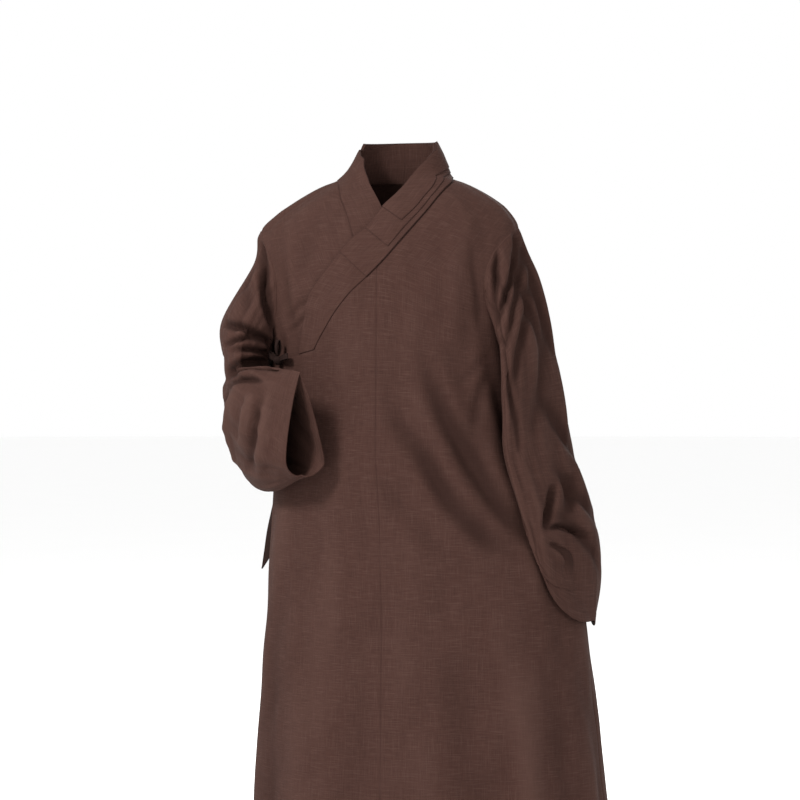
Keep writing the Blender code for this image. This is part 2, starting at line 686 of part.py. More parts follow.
def build_band(name, path, across, out, wall, material, inset=None, sides=()):
    """Strip between the free and the sewn edge of a collar path, moved out from the trunk."""
    sewn, free = path
    part = np.array(across)[None, :, None]
    spot = free[:, None] + part * (sewn - free)[:, None]
    angle, height = spot[..., 0], spot[..., 1]
    depth = inset(angle, height) if inset else np.zeros(angle.shape)
    outer, normals = trunk(angle, height, out - depth)
    shift = pull_in(outer, 0.5 * SEAM_GAP, sides)
    return shell_object(name, outer + shift, outer - wall * normals + shift, False, material)


def build_collar(material):
    """Both bands, and the three layers on the left one, each narrower and shorter."""
    rise = BAND_WALL - WALL
    left = left_path(-0.5 * math.pi)
    build_band("collar_band_left", left, BAND_ACROSS, rise, BAND_WALL, material,
               sides=("first_row", "last_row", "last_column"))
    build_band("collar_band_right", right_path(), BAND_ACROSS, rise, BAND_WALL, material,
               inset=under_inset, sides=("first_row", "last_column"))
    sewn, free = left_path(LAYER_START)
    for number, end in enumerate(LAYER_ENDS, start=1):
        lift = rise + (4 - number) * (LAYER_WALL + LAYER_GAP)
        keep = int(np.nonzero(sewn[:, 1] >= end - 1e-4)[0][-1]) + 1
        across = BAND_ACROSS[:len(BAND_ACROSS) - 3 + number]
        build_band(f"collar_layer_{number}", (sewn[:keep], free[:keep]), across, lift,
                   LAYER_WALL, material)


def ball_object(name, middle, radius, material, rings=8, sides=12):
    """Closed ball, from rings between two poles."""
    tilt = np.linspace(0.0, math.pi, rings + 1)[1:-1]
    turn = np.arange(sides) * 2.0 * math.pi / sides
    body = np.stack([np.sin(tilt)[:, None] * np.cos(turn), np.sin(tilt)[:, None] * np.sin(turn),
                     np.cos(tilt)[:, None] + 0.0 * turn], -1).reshape(-1, 3)
    points = np.concatenate([body, [[0, 0, 1.0]], [[0, 0, -1.0]]]) * radius + middle
    top, bottom = len(body), len(body) + 1
    faces = []
    for column in range(sides):
        after = (column + 1) % sides
        faces.append((top, column, after))
        last = (rings - 2) * sides
        faces.append((bottom, last + after, last + column))
        for row in range(rings - 2):
            low = row * sides
            faces.append((low + column, low + sides + column, low + sides + after, low + after))
    mesh = bpy.data.meshes.new(name)
    mesh.from_pydata(points.tolist(), [], faces)
    mesh.shade_smooth()
    mesh.materials.append(material)
    piece = bpy.data.objects.new(name, mesh)
    bpy.context.scene.collection.objects.link(piece)
    return piece


def tie_frame():
    """Middle of the knot, the way across the cloth to the right side, up it, and out of it."""
    middle, ahead = trunk(TIE_KNOT_ANGLE, TIE_KNOT_HEIGHT, TIE_KNOT_OUT)
    across = unit(np.cross(ahead, np.array([0.0, 0.0, -1.0])))
    return middle, across, np.cross(across, ahead), ahead


def build_tie_loop(number, turn, material):
    """Flat loop of tape that leaves the knot in one direction and comes back to it."""
    around = np.arange(20) * 2.0 * math.pi / 20
    reach = TIE_KNOT_RADIUS + SEAM_GAP + 0.5 * TIE_LOOP_LENGTH * (1.0 - np.cos(around))
    bulge = 0.5 * TIE_LOOP_DEPTH * np.sin(around)
    across = np.linspace(-0.5, 0.5, 3) * TIE_LOOP_WIDTH
    path = np.stack([reach, bulge], -1)
    step = np.roll(path, -1, 0) - np.roll(path, 1, 0)
    side_way = unit(np.stack([-step[:, 1], step[:, 0]], -1))
    knot, aside, up, ahead = tie_frame()
    swing = math.radians(turn)
    way = math.cos(swing) * aside - math.sin(swing) * up
    flat = math.sin(swing) * aside + math.cos(swing) * up
    walls = []
    for offset in (0.0, -TIE_LOOP_WALL):
        moved = path + offset * side_way
        grid = (moved[None, :, :1] * way + moved[None, :, 1:] * ahead
                + across[:, None, None] * flat) + knot
        walls.append(grid)
    return shell_object(f"tie_loop_{number}", walls[0], walls[1], True, material)


def build_ties(material):
    """Knot with its loops, the long side tie and the knot button."""
    ball_object("tie_knot", tie_frame()[0], TIE_KNOT_RADIUS, material)
    for number, turn in enumerate(TIE_LOOP_TURNS, start=1):
        build_tie_loop(number, turn, material)
    rows = along_rows(SIDE_TIE, np.linspace(0.0, 1.0, 13))
    part = np.linspace(0.0, 1.0, 4)[None, :]
    angle = np.radians(rows[:, 1:2] + part * (rows[:, 3:4] - rows[:, 1:2]))
    out = rows[:, 2:3] + part * (rows[:, 4:5] - rows[:, 2:3])
    outer, _ = trunk(angle, rows[:, :1] + 0.0 * part, out)
    wall = SIDE_TIE_WALL * grid_normals(outer, closed=False)
    shell_object("side_tie", outer, outer - wall, False, material)
    button, _ = trunk(KNOT_BUTTON_ANGLE, KNOT_BUTTON_HEIGHT, KNOT_BUTTON_RADIUS + SEAM_GAP)
    ball_object("knot_button", button, KNOT_BUTTON_RADIUS, material)


def build_robe():
    """Every piece of the robe."""
    cloth = cloth_material("robe_cloth", CLOTH_COLOUR)
    band = cloth_material("collar_cloth", BAND_COLOUR)
    tie = cloth_material("tie_cloth", TIE_COLOUR)
    left = sleeve_surface(1.0, LEFT_SLEEVE, LEFT_SLEEVE_CREASES)
    right = sleeve_surface(-1.0, RIGHT_SLEEVE, RIGHT_SLEEVE_CREASES)
    left_mitre = mitres(1.0, left[1])
    right_mitre = mitres(-1.0, right[1])
    build_front_left(cloth, left_mitre)
    build_front_overlap(cloth)
    build_front_right(cloth, right_mitre)
    build_back("back_left", 1.0, cloth, left_mitre)
    build_back("back_right", -1.0, cloth, right_mitre)
    build_sleeve("sleeve_left", 1.0, left, left_mitre, cloth)
    build_sleeve("sleeve_right", -1.0, right, right_mitre, cloth)
    build_collar(band)
    build_ties(tie)


clear_scene()
build_robe()
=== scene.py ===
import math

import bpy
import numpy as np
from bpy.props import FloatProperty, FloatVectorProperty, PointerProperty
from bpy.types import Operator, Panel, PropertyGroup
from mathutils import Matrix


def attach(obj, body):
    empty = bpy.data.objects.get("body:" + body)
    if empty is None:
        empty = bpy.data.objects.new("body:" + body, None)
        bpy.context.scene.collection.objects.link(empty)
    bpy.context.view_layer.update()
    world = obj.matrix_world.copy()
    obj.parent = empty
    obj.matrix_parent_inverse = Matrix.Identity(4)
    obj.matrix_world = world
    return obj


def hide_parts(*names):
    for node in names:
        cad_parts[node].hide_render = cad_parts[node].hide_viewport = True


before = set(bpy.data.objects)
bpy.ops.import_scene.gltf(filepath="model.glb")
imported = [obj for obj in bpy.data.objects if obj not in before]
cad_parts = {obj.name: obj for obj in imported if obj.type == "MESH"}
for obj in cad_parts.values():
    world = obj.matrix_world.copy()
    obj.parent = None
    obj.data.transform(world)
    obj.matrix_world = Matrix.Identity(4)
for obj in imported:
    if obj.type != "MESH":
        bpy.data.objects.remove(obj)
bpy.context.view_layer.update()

# A long crossed-over robe of brown slubby cloth, filled out as it is worn and open inside.
#
# Metres, +Z up. The front faces -Y and the left side lies towards +X. Every panel, collar band
# and layer is a region of one trunk surface, a function of an angle round the body (0 at the
# left side, 90 degrees in front, 180 at the right side) and a height. Each sleeve is a tube
# through rings. Creases and folds move both surfaces in and out.

bl_info = {
    "name": "Crossed-over robe",
    "version": (1, 0, 0),
    "blender": (4, 5, 0),
    "location": "View3D > Sidebar > Robe",
    "description": "Builds the cloth pieces, ties and studio of a long crossed-over robe",
    "category": "Object",
}

# Depths of the cloth
SEAM_GAP = 0.0003
LAYER_GAP = 0.0006
OVERLAP_DEPTH = 0.007
SLEEVE_CLEARANCE = 0.009
CLEARANCE_RUN = 0.015
ARMHOLE_BLEND = 0.35

# Heights
HEM = -1.37
ARMPIT = -0.315
SHOULDER_TIP = -0.085
NECK_BASE = 0.0105
COLLAR_TOP = 0.085

# Armholes
ARMHOLE_FRONT = 0.085
ARMHOLE_BACK = 0.080

# Quarter view in which the front's creases and edges are placed: across it and up
VIEW_TURN = math.radians(13.0)

# Overlap: where it ends near the right side, its drop there, and its lift over the under front
OVERLAP_EDGE = math.radians(166.0)
OVERLAP_DROP = 0.025
OVERLAP_LIFT = 0.0056
LIFT_START = math.radians(140.0)
LIFT_RUN = math.radians(24.0)
UNDER_RUN = math.radians(25.0)

# Neck corners, start of the collar layers, and how far the collar's top dips at each side
LEFT_CORNER = math.radians(4.0)
RIGHT_CORNER = math.radians(176.0)
LAYER_START = math.radians(-162.0)
LEFT_DIP = 0.006
RIGHT_DIP = 0.016
BAND_START_DROP = 0.001

# Cells of the grids
HALF_RING = 72
SLEEVE_CELLS = 170
PANEL_CELLS = 64
BELOW_CELLS = 120
SHOULDER_CELLS = 16
BAND_CELLS = 14
NECK_CELLS = 44
BAND_FRONT_CELLS = 150
BAND_END_CELLS = 10
OVERLAP_SLOPE_CELLS = 12
BAND_CURVE_POINTS = 400
CORNER_SEARCH_POINTS = 600

# Power of each cuff's outline: 2 is an ellipse, more is squarer and 1 is a diamond
LEFT_CUFF_POWER = 3.2
RIGHT_CUFF_POWER = 1.3
CUFF_SHAPE_START = 0.55
CUFF_SHAPE_RUN = 0.45

# Share of a strip's width or length at which extra grid lines lie beside a seam
SEAM_LINES = (0.0, 0.004, 0.009, 0.016, 0.027)

# Seams: depth and half width of the groove, and the width of a turned hem
SEAM_DEPTH = 0.0011
SEAM_RUN = 0.0028
HEM_TURN = 0.022

# Turned hem: how far it is raised, over what step, and the half width of its line of stitches
HEM_RISE = 0.0006
HEM_STEP = 0.002
HEM_STITCH_RUN = 0.0015

# Seam under the arm: depth, half width as a turn round the sleeve, and where it starts
UNDERARM_DEPTH = 0.0008
UNDERARM_RUN = 0.05
UNDERARM_START = 0.01

# Collar's line of stitches: depth, distance from the edge and half width; then its round edge
STITCH_DEPTH = 0.0004
STITCH_PLACE = 0.0022
STITCH_RUN = 0.0009
ROUND_DEPTH = 0.0005
ROUND_RUN = 0.0010

# Turn between two faces past which their edge is drawn sharp
SHARP_TURN = math.radians(60.0)

# Steps in angle and height over which the trunk's normal is measured
NORMAL_TURN = 1e-4
NORMAL_RISE = 1e-5

# Trunk sections, one row each: height, middle, half width, front depth, back depth
SECTIONS = np.array([
    (-1.370, 0.070, 0.348, 0.250, 0.240),
    (-1.170, 0.069, 0.334, 0.235, 0.222),
    (-0.830, 0.062, 0.304, 0.205, 0.190),
    (-0.600, 0.040, 0.270, 0.180, 0.160),
    (-0.450, 0.018, 0.246, 0.167, 0.146),
    (-0.315, -0.003, 0.232, 0.157, 0.138),
    (-0.200, -0.009, 0.244, 0.148, 0.136),
    (-0.120, -0.012, 0.252, 0.132, 0.131),
    (-0.085, -0.012, 0.249, 0.120, 0.126),
    (-0.050, -0.007, 0.222, 0.104, 0.116),
    (-0.030, -0.004, 0.195, 0.092, 0.106),
    (-0.015, -0.002, 0.170, 0.080, 0.096),
    (0.000, -0.001, 0.140, 0.068, 0.085),
    (0.0105, 0.000, 0.112, 0.062, 0.076),
    (0.033, 0.004, 0.094, 0.058, 0.070),
    (0.060, 0.006, 0.080, 0.054, 0.065),
    (0.085, 0.006, 0.067, 0.050, 0.060),
])

# Centre-front seam, one row each: height, place across the quarter view
CENTRE_SEAM = np.array([
    (-1.370, -0.026), (-1.170, -0.026), (-0.830, -0.024), (-0.650, -0.027),
    (-0.510, -0.035), (-0.170, -0.033),
])

# Left collar band in front, one row each: free edge across and up, sewn edge across and up
LEFT_BAND = np.array([
    (0.060, 0.044, 0.109, 0.002),
    (0.041, 0.023, 0.092, -0.017),
    (0.024, -0.003, 0.073, -0.040),
    (0.005, -0.027, 0.054, -0.063),
    (-0.022, -0.051, 0.031, -0.089),
    (-0.050, -0.087, -0.001, -0.127),
    (-0.079, -0.110, -0.031, -0.160),
    (-0.130, -0.169, -0.081, -0.209),
    (-0.161, -0.215, -0.113, -0.249),
    (-0.172, -0.266, -0.136, -0.285),
    (-0.180, -0.323, -0.150, -0.315),
])

# Right collar band in front, with the same columns; its lower end lies under the left one
RIGHT_BAND = np.array([
    (-0.0625, 0.051, -0.108, 0.004),
    (-0.061, 0.032, -0.106, -0.010),
    (-0.050, 0.006, -0.102, -0.029),
    (-0.035, -0.023, -0.094, -0.051),
    (-0.022, -0.051, -0.086, -0.075),
    (-0.005, -0.085, -0.077, -0.105),
    (0.020, -0.130, -0.055, -0.160),
    (0.045, -0.180, -0.028, -0.215),
])

# Inner edge of the under front below its collar band, one row each: height, place across
UNDER_EDGE = np.array([(-1.370, 0.100), (-0.600, 0.080), (-0.360, 0.050), (-0.215, -0.028)])

# Collar layers: height at which each ends, and the share of the band's width it covers
LAYER_ENDS = (-0.0906, -0.1324, -0.182)
LAYER_WIDTHS = (0.71, 0.86, 1.0)

# Left sleeve rings, one row each: middle, outer, front, inner and back points
LEFT_SLEEVE = np.array([
    ((0.222, 0.000, -0.200), (0.225, 0.000, -0.085), (0.182, -0.085, -0.200),
     (0.213, 0.000, -0.315), (0.184, 0.080, -0.200)),
    ((0.236, 0.000, -0.243), (0.268, 0.004, -0.155), (0.215, -0.098, -0.240),
     (0.226, 0.000, -0.335), (0.220, 0.090, -0.240)),
    ((0.263, 0.000, -0.312), (0.297, 0.004, -0.252), (0.234, -0.112, -0.315),
     (0.238, 0.000, -0.372), (0.245, 0.098, -0.315)),
    ((0.286, -0.004, -0.402), (0.319, 0.004, -0.372), (0.238, -0.125, -0.412),
     (0.256, 0.000, -0.430), (0.266, 0.102, -0.405)),
    ((0.308, -0.008, -0.500), (0.341, 0.002, -0.490), (0.244, -0.135, -0.502),
     (0.274, 0.000, -0.512), (0.290, 0.102, -0.503)),
    ((0.336, -0.015, -0.610), (0.378, 0.000, -0.605), (0.272, -0.132, -0.605),
     (0.300, 0.000, -0.618), (0.326, 0.098, -0.620)),
    ((0.352, -0.010, -0.655), (0.390, 0.000, -0.702), (0.286, -0.124, -0.655),
     (0.325, 0.000, -0.690), (0.350, 0.088, -0.715)),
    ((0.352, -0.005, -0.705), (0.384, 0.005, -0.820), (0.297, -0.116, -0.708),
     (0.350, 0.005, -0.760), (0.338, 0.075, -0.740)),
])

# Right sleeve rings, with the same columns; the elbow is bent and the cuff is in front
RIGHT_SLEEVE = np.array([
    ((-0.232, 0.000, -0.200), (-0.245, 0.000, -0.085), (-0.198, -0.085, -0.200),
     (-0.219, 0.000, -0.315), (-0.200, 0.080, -0.200)),
    ((-0.254, 0.000, -0.240), (-0.279, 0.000, -0.152), (-0.236, -0.102, -0.232),
     (-0.232, 0.000, -0.333), (-0.240, 0.086, -0.242)),
    ((-0.284, -0.004, -0.300), (-0.341, 0.000, -0.262), (-0.262, -0.128, -0.300),
     (-0.242, 0.000, -0.362), (-0.274, 0.090, -0.318)),
    ((-0.286, -0.020, -0.362), (-0.330, -0.020, -0.345), (-0.262, -0.140, -0.344),
     (-0.247, -0.010, -0.384), (-0.296, 0.082, -0.412)),
    ((-0.284, -0.050, -0.412), (-0.322, -0.052, -0.400), (-0.248, -0.156, -0.350),
     (-0.243, -0.030, -0.424), (-0.311, 0.040, -0.505)),
    ((-0.246, -0.112, -0.432), (-0.288, -0.132, -0.424), (-0.214, -0.176, -0.346),
     (-0.206, -0.090, -0.440), (-0.272, -0.038, -0.566)),
    ((-0.194, -0.166, -0.438), (-0.232, -0.194, -0.468), (-0.170, -0.208, -0.350),
     (-0.157, -0.142, -0.450), (-0.204, -0.124, -0.580)),
    ((-0.118, -0.212, -0.480), (-0.150, -0.230, -0.522), (-0.123, -0.228, -0.358),
     (-0.086, -0.195, -0.524), (-0.126, -0.208, -0.546)),
])

# Folds that hang to the hem, one row each: angle and half width in degrees, top, height
HEM_FOLDS = np.array([
    (14.0, 7.0, -0.60, 0.006), (30.0, 7.0, -0.75, -0.009), (46.0, 8.0, -0.70, 0.008),
    (64.0, 9.0, -0.80, -0.006), (86.0, 10.0, -0.85, 0.006), (108.0, 9.0, -0.75, -0.007),
    (128.0, 9.0, -0.70, 0.008), (148.0, 8.0, -0.65, -0.008), (168.0, 8.0, -0.70, 0.002),
    (198.0, 8.0, -0.50, 0.012), (214.0, 8.0, -0.40, -0.012), (232.0, 9.0, -0.45, 0.013),
    (252.0, 9.0, -0.35, -0.013), (270.0, 9.0, -0.40, 0.012), (289.0, 9.0, -0.35, -0.012),
    (308.0, 9.0, -0.45, 0.013), (326.0, 8.0, -0.50, -0.011), (343.0, 8.0, -0.55, 0.010),
])
FOLD_RAMP = 0.7

# Creases, one entry each: points across a view and up, half width, height, and which side of
# the trough swells (1 or -1). Each list belongs to the azimuth of its view in degrees.
TRUNK_CREASES = {
    13.0: [
        (((0.045, -0.344), (0.077, -0.420), (0.102, -0.471), (0.140, -0.532), (0.187, -0.604),
          (0.256, -0.676)), 0.022, -0.0150, 1),
        (((-0.012, -0.431), (0.010, -0.469), (0.043, -0.513), (0.090, -0.589), (0.140, -0.648),
          (0.212, -0.695)), 0.022, -0.0130, 1),
        (((0.086, -0.304), (0.128, -0.393), (0.170, -0.479), (0.216, -0.560)), 0.022, -0.0035, 1),
        (((0.176, -0.350), (0.206, -0.460), (0.232, -0.550), (0.262, -0.640)), 0.024, -0.0110, 1),
        (((-0.043, -0.541), (-0.005, -0.599), (0.056, -0.671), (0.121, -0.716)), 0.022, -0.004, 1),
        (((0.147, -0.104), (0.151, -0.158), (0.159, -0.218), (0.162, -0.276)), 0.010, -0.004, -1),
        (((0.174, -0.317), (0.143, -0.355), (0.109, -0.378)), 0.009, -0.003, 1),
        (((0.176, -0.336), (0.155, -0.399), (0.143, -0.466)), 0.012, -0.004, 1),
        (((-0.212, -0.104), (-0.204, -0.180), (-0.197, -0.247), (-0.183, -0.300)),
         0.010, -0.0055, -1),
        (((-0.199, -0.260), (-0.180, -0.236), (-0.157, -0.222)), 0.007, -0.004, 1),
        (((-0.200, -0.285), (-0.180, -0.266), (-0.162, -0.253)), 0.006, -0.003, 1),
        (((-0.176, -0.095), (-0.180, -0.158), (-0.170, -0.203)), 0.014, -0.0025, 1),
        (((-0.199, -0.560), (-0.214, -0.674), (-0.240, -0.827)), 0.018, 0.005, 1),
        (((-0.104, -0.636), (-0.123, -0.788), (-0.138, -0.979), (-0.145, -1.169)),
         0.030, 0.004, 1),
        (((0.314, -0.865), (0.352, -0.979), (0.390, -1.169)), 0.022, -0.005, 1),
        (((0.200, -0.827), (0.223, -0.979), (0.242, -1.169)), 0.028, 0.004, 1),
        (((0.086, -0.865), (0.098, -1.016), (0.105, -1.169)), 0.026, -0.003, 1),
    ],
    180.0: [
        (((-0.160, -0.110), (-0.150, -0.190), (-0.158, -0.290)), 0.012, -0.005, 1),
        (((0.168, -0.105), (0.160, -0.200), (0.170, -0.300)), 0.012, -0.005, -1),
        (((-0.150, -0.300), (-0.110, -0.360), (-0.060, -0.440)), 0.016, -0.005, 1),
        (((0.165, -0.310), (0.120, -0.390), (0.080, -0.500)), 0.016, -0.005, -1),
        (((-0.090, -0.060), (-0.050, -0.075), (0.010, -0.070)), 0.014, -0.0025, 1),
        (((0.090, -0.420), (0.060, -0.560), (0.050, -0.720)), 0.022, 0.005, 1),
        (((-0.070, -0.470), (-0.110, -0.620), (-0.130, -0.800)), 0.024, -0.006, 1),
        (((0.005, -0.520), (-0.020, -0.640), (-0.030, -0.780)), 0.020, 0.0045, 1),
    ],
}
LEFT_SLEEVE_CREASES = {
    13.0: [
        (((0.170, -0.057), (0.159, -0.123), (0.149, -0.190), (0.153, -0.257), (0.166, -0.336)),
         0.011, -0.006, 1),
        (((0.187, -0.082), (0.187, -0.133), (0.185, -0.177), (0.178, -0.268)), 0.007, -0.0075, 1),
        (((0.218, -0.072), (0.227, -0.123), (0.218, -0.177), (0.193, -0.241), (0.178, -0.274)),
         0.008, -0.010, 1),
        (((0.244, -0.103), (0.238, -0.162), (0.225, -0.217), (0.204, -0.308)), 0.008, -0.007, 1),
        (((0.259, -0.171), (0.246, -0.243), (0.227, -0.323), (0.219, -0.390)), 0.009, -0.007, 1),
        (((0.178, -0.314), (0.193, -0.304), (0.208, -0.314)), 0.006, -0.005, 1),
        (((0.276, -0.276), (0.269, -0.370), (0.257, -0.466)), 0.012, -0.005, 1),
        (((0.196, -0.318), (0.208, -0.378), (0.222, -0.450), (0.228, -0.510)), 0.008, -0.007, 1),
        (((0.297, -0.562), (0.294, -0.589), (0.287, -0.616), (0.279, -0.646)), 0.008, -0.013, -1),
        (((0.286, -0.646), (0.305, -0.642), (0.332, -0.650), (0.366, -0.663)), 0.006, -0.011, 1),
        (((0.284, -0.672), (0.299, -0.679), (0.318, -0.697), (0.322, -0.716)), 0.0055, -0.009, 1),
        (((0.332, -0.541), (0.333, -0.580), (0.330, -0.621)), 0.014, -0.009, -1),
        (((0.292, -0.700), (0.310, -0.725), (0.330, -0.748)), 0.014, -0.003, 1),
    ],
    90.0: [
        (((-0.050, -0.130), (-0.060, -0.210), (-0.045, -0.310)), 0.013, -0.007, 1),
        (((0.000, -0.120), (-0.008, -0.220), (0.004, -0.330)), 0.014, -0.008, -1),
        (((0.045, -0.130), (0.040, -0.240), (0.030, -0.350)), 0.013, -0.007, 1),
        (((-0.060, -0.400), (-0.020, -0.470), (0.030, -0.540)), 0.018, -0.007, 1),
        (((-0.070, -0.520), (-0.030, -0.590), (0.035, -0.650)), 0.016, -0.007, 1),
        (((-0.080, -0.610), (-0.020, -0.670), (0.020, -0.720)), 0.014, -0.006, -1),
        (((0.060, -0.420), (0.050, -0.520), (0.040, -0.610)), 0.016, -0.005, 1),
    ],
    180.0: [
        (((-0.215, -0.130), (-0.225, -0.220), (-0.235, -0.330)), 0.012, -0.007, 1),
        (((-0.240, -0.180), (-0.255, -0.290), (-0.262, -0.380)), 0.013, -0.006, -1),
        (((-0.250, -0.430), (-0.275, -0.520), (-0.310, -0.610)), 0.014, -0.006, 1),
        (((-0.300, -0.660), (-0.335, -0.690), (-0.365, -0.740)), 0.012, -0.006, 1),
    ],
}
RIGHT_SLEEVE_CREASES = {
    13.0: [
        (((-0.252, -0.101), (-0.254, -0.142), (-0.248, -0.200), (-0.233, -0.255),
          (-0.212, -0.304)), 0.010, -0.014, 1),
        (((-0.227, -0.089), (-0.218, -0.167), (-0.212, -0.236), (-0.208, -0.298)),
         0.009, -0.009, 1),
        (((-0.278, -0.146), (-0.288, -0.200), (-0.282, -0.241)), 0.012, -0.004, 1),
        (((-0.333, -0.262), (-0.309, -0.270), (-0.286, -0.274), (-0.252, -0.293),
          (-0.218, -0.315)), 0.008, -0.013, 1),
        (((-0.324, -0.304), (-0.299, -0.293), (-0.271, -0.289), (-0.252, -0.296)),
         0.006, -0.009, -1),
        (((-0.322, -0.369), (-0.309, -0.351), (-0.292, -0.340), (-0.252, -0.334),
          (-0.210, -0.346)), 0.009, -0.016, -1),
        (((-0.309, -0.317), (-0.282, -0.315), (-0.244, -0.321), (-0.214, -0.333)),
         0.006, -0.008, 1),
        (((-0.265, -0.393), (-0.276, -0.437), (-0.288, -0.496)), 0.009, 0.0065, 1),
        (((-0.233, -0.393), (-0.242, -0.466), (-0.256, -0.549)), 0.010, 0.007, 1),
        (((-0.195, -0.424), (-0.202, -0.484), (-0.218, -0.560)), 0.008, 0.004, 1),
        (((-0.297, -0.380), (-0.307, -0.424), (-0.309, -0.466)), 0.010, 0.004, 1),
        (((-0.252, -0.408), (-0.265, -0.484), (-0.275, -0.541)), 0.007, -0.006, 1),
        (((-0.322, -0.392), (-0.300, -0.378), (-0.272, -0.372), (-0.240, -0.376)), 0.006, -0.007, 1),
    ],
    270.0: [
        (((-0.040, -0.140), (-0.050, -0.220), (-0.030, -0.300)), 0.012, -0.007, 1),
        (((0.010, -0.130), (0.000, -0.220), (0.020, -0.310)), 0.012, -0.008, -1),
        (((-0.060, -0.360), (0.000, -0.350), (0.070, -0.330)), 0.012, -0.011, 1),
        (((-0.070, -0.420), (-0.010, -0.390), (0.060, -0.360)), 0.012, -0.009, 1),
        (((-0.040, -0.500), (0.030, -0.450), (0.110, -0.390)), 0.013, -0.009, -1),
        (((0.050, -0.530), (0.100, -0.470), (0.150, -0.400)), 0.012, 0.006, 1),
    ],
    180.0: [
        (((0.230, -0.130), (0.250, -0.220), (0.262, -0.300)), 0.012, -0.008, -1),
        (((0.262, -0.340), (0.290, -0.360), (0.320, -0.350)), 0.011, -0.009, 1),
        (((0.258, -0.400), (0.285, -0.420), (0.312, -0.420)), 0.010, -0.007, 1),
        (((0.240, -0.470), (0.262, -0.510), (0.270, -0.550)), 0.010, -0.006, 1),
    ],
}

# How deep creases are on the sleeves, how much they calm down towards the cuff and from where
SLEEVE_CREASE_SHARE = 1.45
CUFF_CALM = 0.85
CUFF_CALM_START = 0.86
CUFF_CALM_RUN = 0.12

# What is left of a crease at its ends, how fast it fades to them, how far it leans to the side
# that swells, the lean's limit and the crease's reach in half widths
CREASE_ENDS = 0.12
CREASE_FADE_POWER = 0.7
CREASE_LEAN = 0.9
LEAN_LIMIT = 3.0
CREASE_REACH = 4.0

# Where a crease fades in as the cloth turns to face its view, and along the sleeve's start
FACING_START = 0.05
FACING_RUN = 0.35
CREASE_FADE_IN = 0.05

# Depth of a trough painted in full shade, and the share of the trunk's relief painted as shade and
# highlight
SHADING_FULL_DEPTH = 0.0080
TRUNK_SHADING_SHARE = 0.65

# Soft unevenness of hanging cloth, one row each: waves round, waves up in one metre, start
# turn in radians, height
RIPPLES = np.array([
    (9.0, 1.3, 0.4, 0.0011), (13.0, -0.9, 2.1, 0.0009), (21.0, 1.9, 4.0, 0.0006),
    (31.0, -2.6, 1.2, 0.0004), (5.0, 5.1, 3.3, 0.0008), (17.0, 7.3, 5.2, 0.0004),
])

# Stretch below the neck over which the unevenness sets in, the sleeve's length in its waves,
# and the start turn of the right sleeve's waves
RIPPLE_START = 0.06
SLEEVE_WAVES = 0.7
RIGHT_WAVE_START = 2.0

# Ties
KNOT_ANGLE = math.radians(147.0)
KNOT_HEIGHT = -0.334
KNOT_OUT = 0.0104
KNOT_RADIUS = 0.009
LOOP_LENGTH = 0.030
LOOP_WIDTH = 0.011
LOOP_DEPTH = 0.0095
LOOP_TURNS = (12.0, 86.0, 160.0)
BUTTON_ANGLE = math.radians(176.0)
BUTTON_HEIGHT = -0.645
BUTTON_RADIUS = 0.0045

# Long side tie, one row each: height, then angle in degrees and distance out of both edges
SIDE_TIE = np.array([
    (-0.380, 181.0, 0.0023, 189.0, 0.0023), (-0.470, 181.0, 0.0023, 189.0, 0.0023),
    (-0.545, 181.0, 0.0023, 188.0, 0.0060), (-0.600, 180.5, 0.0030, 186.0, 0.0140),
    (-0.655, 180.5, 0.0040, 183.5, 0.0240), (-0.700, 180.5, 0.0080, 182.5, 0.0270),
    (-0.735, 181.0, 0.0270, 182.0, 0.0290),
])

# Camera and studio
CAMERA_DISTANCE = 4.6
CAMERA_AIM = (0.01018, 0.00235, -0.4085)
CAMERA_LENS = 108.9
FLOOR_DROP = 0.012
FLOOR_RADIUS = 60.0
FLOOR_SIDES = 96

# Studio lights, one row each: name, place, side length, power in watts
LIGHT_AIM = (0.03, 0.0, -0.45)
LIGHTS = (
    ("key_light", (-2.1, -3.1, 2.4), 1.0, 285.0),
    ("fill_light", (2.8, -3.0, 0.6), 2.4, 55.0),
    ("back_light", (0.6, 3.4, 1.4), 2.4, 90.0),
)

# Threads drawn over the cloth's ground, one row each: repeats across and along, the noise's
# lower and upper limit, the share mixed in, and the colour it is mixed with
THREADS = (
    (7.0, 170.0, 0.40, 0.70, 0.30, "weft"), (190.0, 5.0, 0.40, 0.70, 0.25, "warp"),
    (26.0, 620.0, 0.52, 0.74, 0.40, "slub"), (620.0, 22.0, 0.54, 0.76, 0.30, "slub"),
    (40.0, 900.0, 0.50, 0.72, 0.35, "shade"), (800.0, 30.0, 0.50, 0.72, 0.30, "shade"),
)
RAISED_THREADS = ((2, 0.8), (3, 0.6))
# Share of the warp colour left in the deepest troughs, where painted shade darkens the cloth
TROUGH_SHADE_TONE = 0.45


class RobeSizes(PropertyGroup):
    """Sizes of the cloth that a maker would change."""

    wall: FloatProperty(
        name="Cloth wall", description="Thickness of the panels and sleeves",
        default=0.002, min=0.001, max=0.003, unit="LENGTH", precision=4)
    band_wall: FloatProperty(
        name="Band wall", description="Thickness of the doubled collar band",
        default=0.003, min=0.002, max=0.003, unit="LENGTH", precision=4)
    layer_wall: FloatProperty(
        name="Layer wall", description="Thickness of each collar layer",
        default=0.0014, min=0.001, max=0.002, unit="LENGTH", precision=4)
    tape_wall: FloatProperty(
        name="Tape wall", description="Thickness of the tie tape",
        default=0.0016, min=0.001, max=0.002, unit="LENGTH", precision=4)
    crease_share: FloatProperty(
        name="Crease depth", description="Share of the full depth that every crease has",
        default=1.0, min=0.0, max=1.3, subtype="FACTOR")
    ripple_share: FloatProperty(
        name="Unevenness", description="Share of the soft unevenness of hanging cloth",
        default=1.0, min=0.0, max=2.0, subtype="FACTOR")


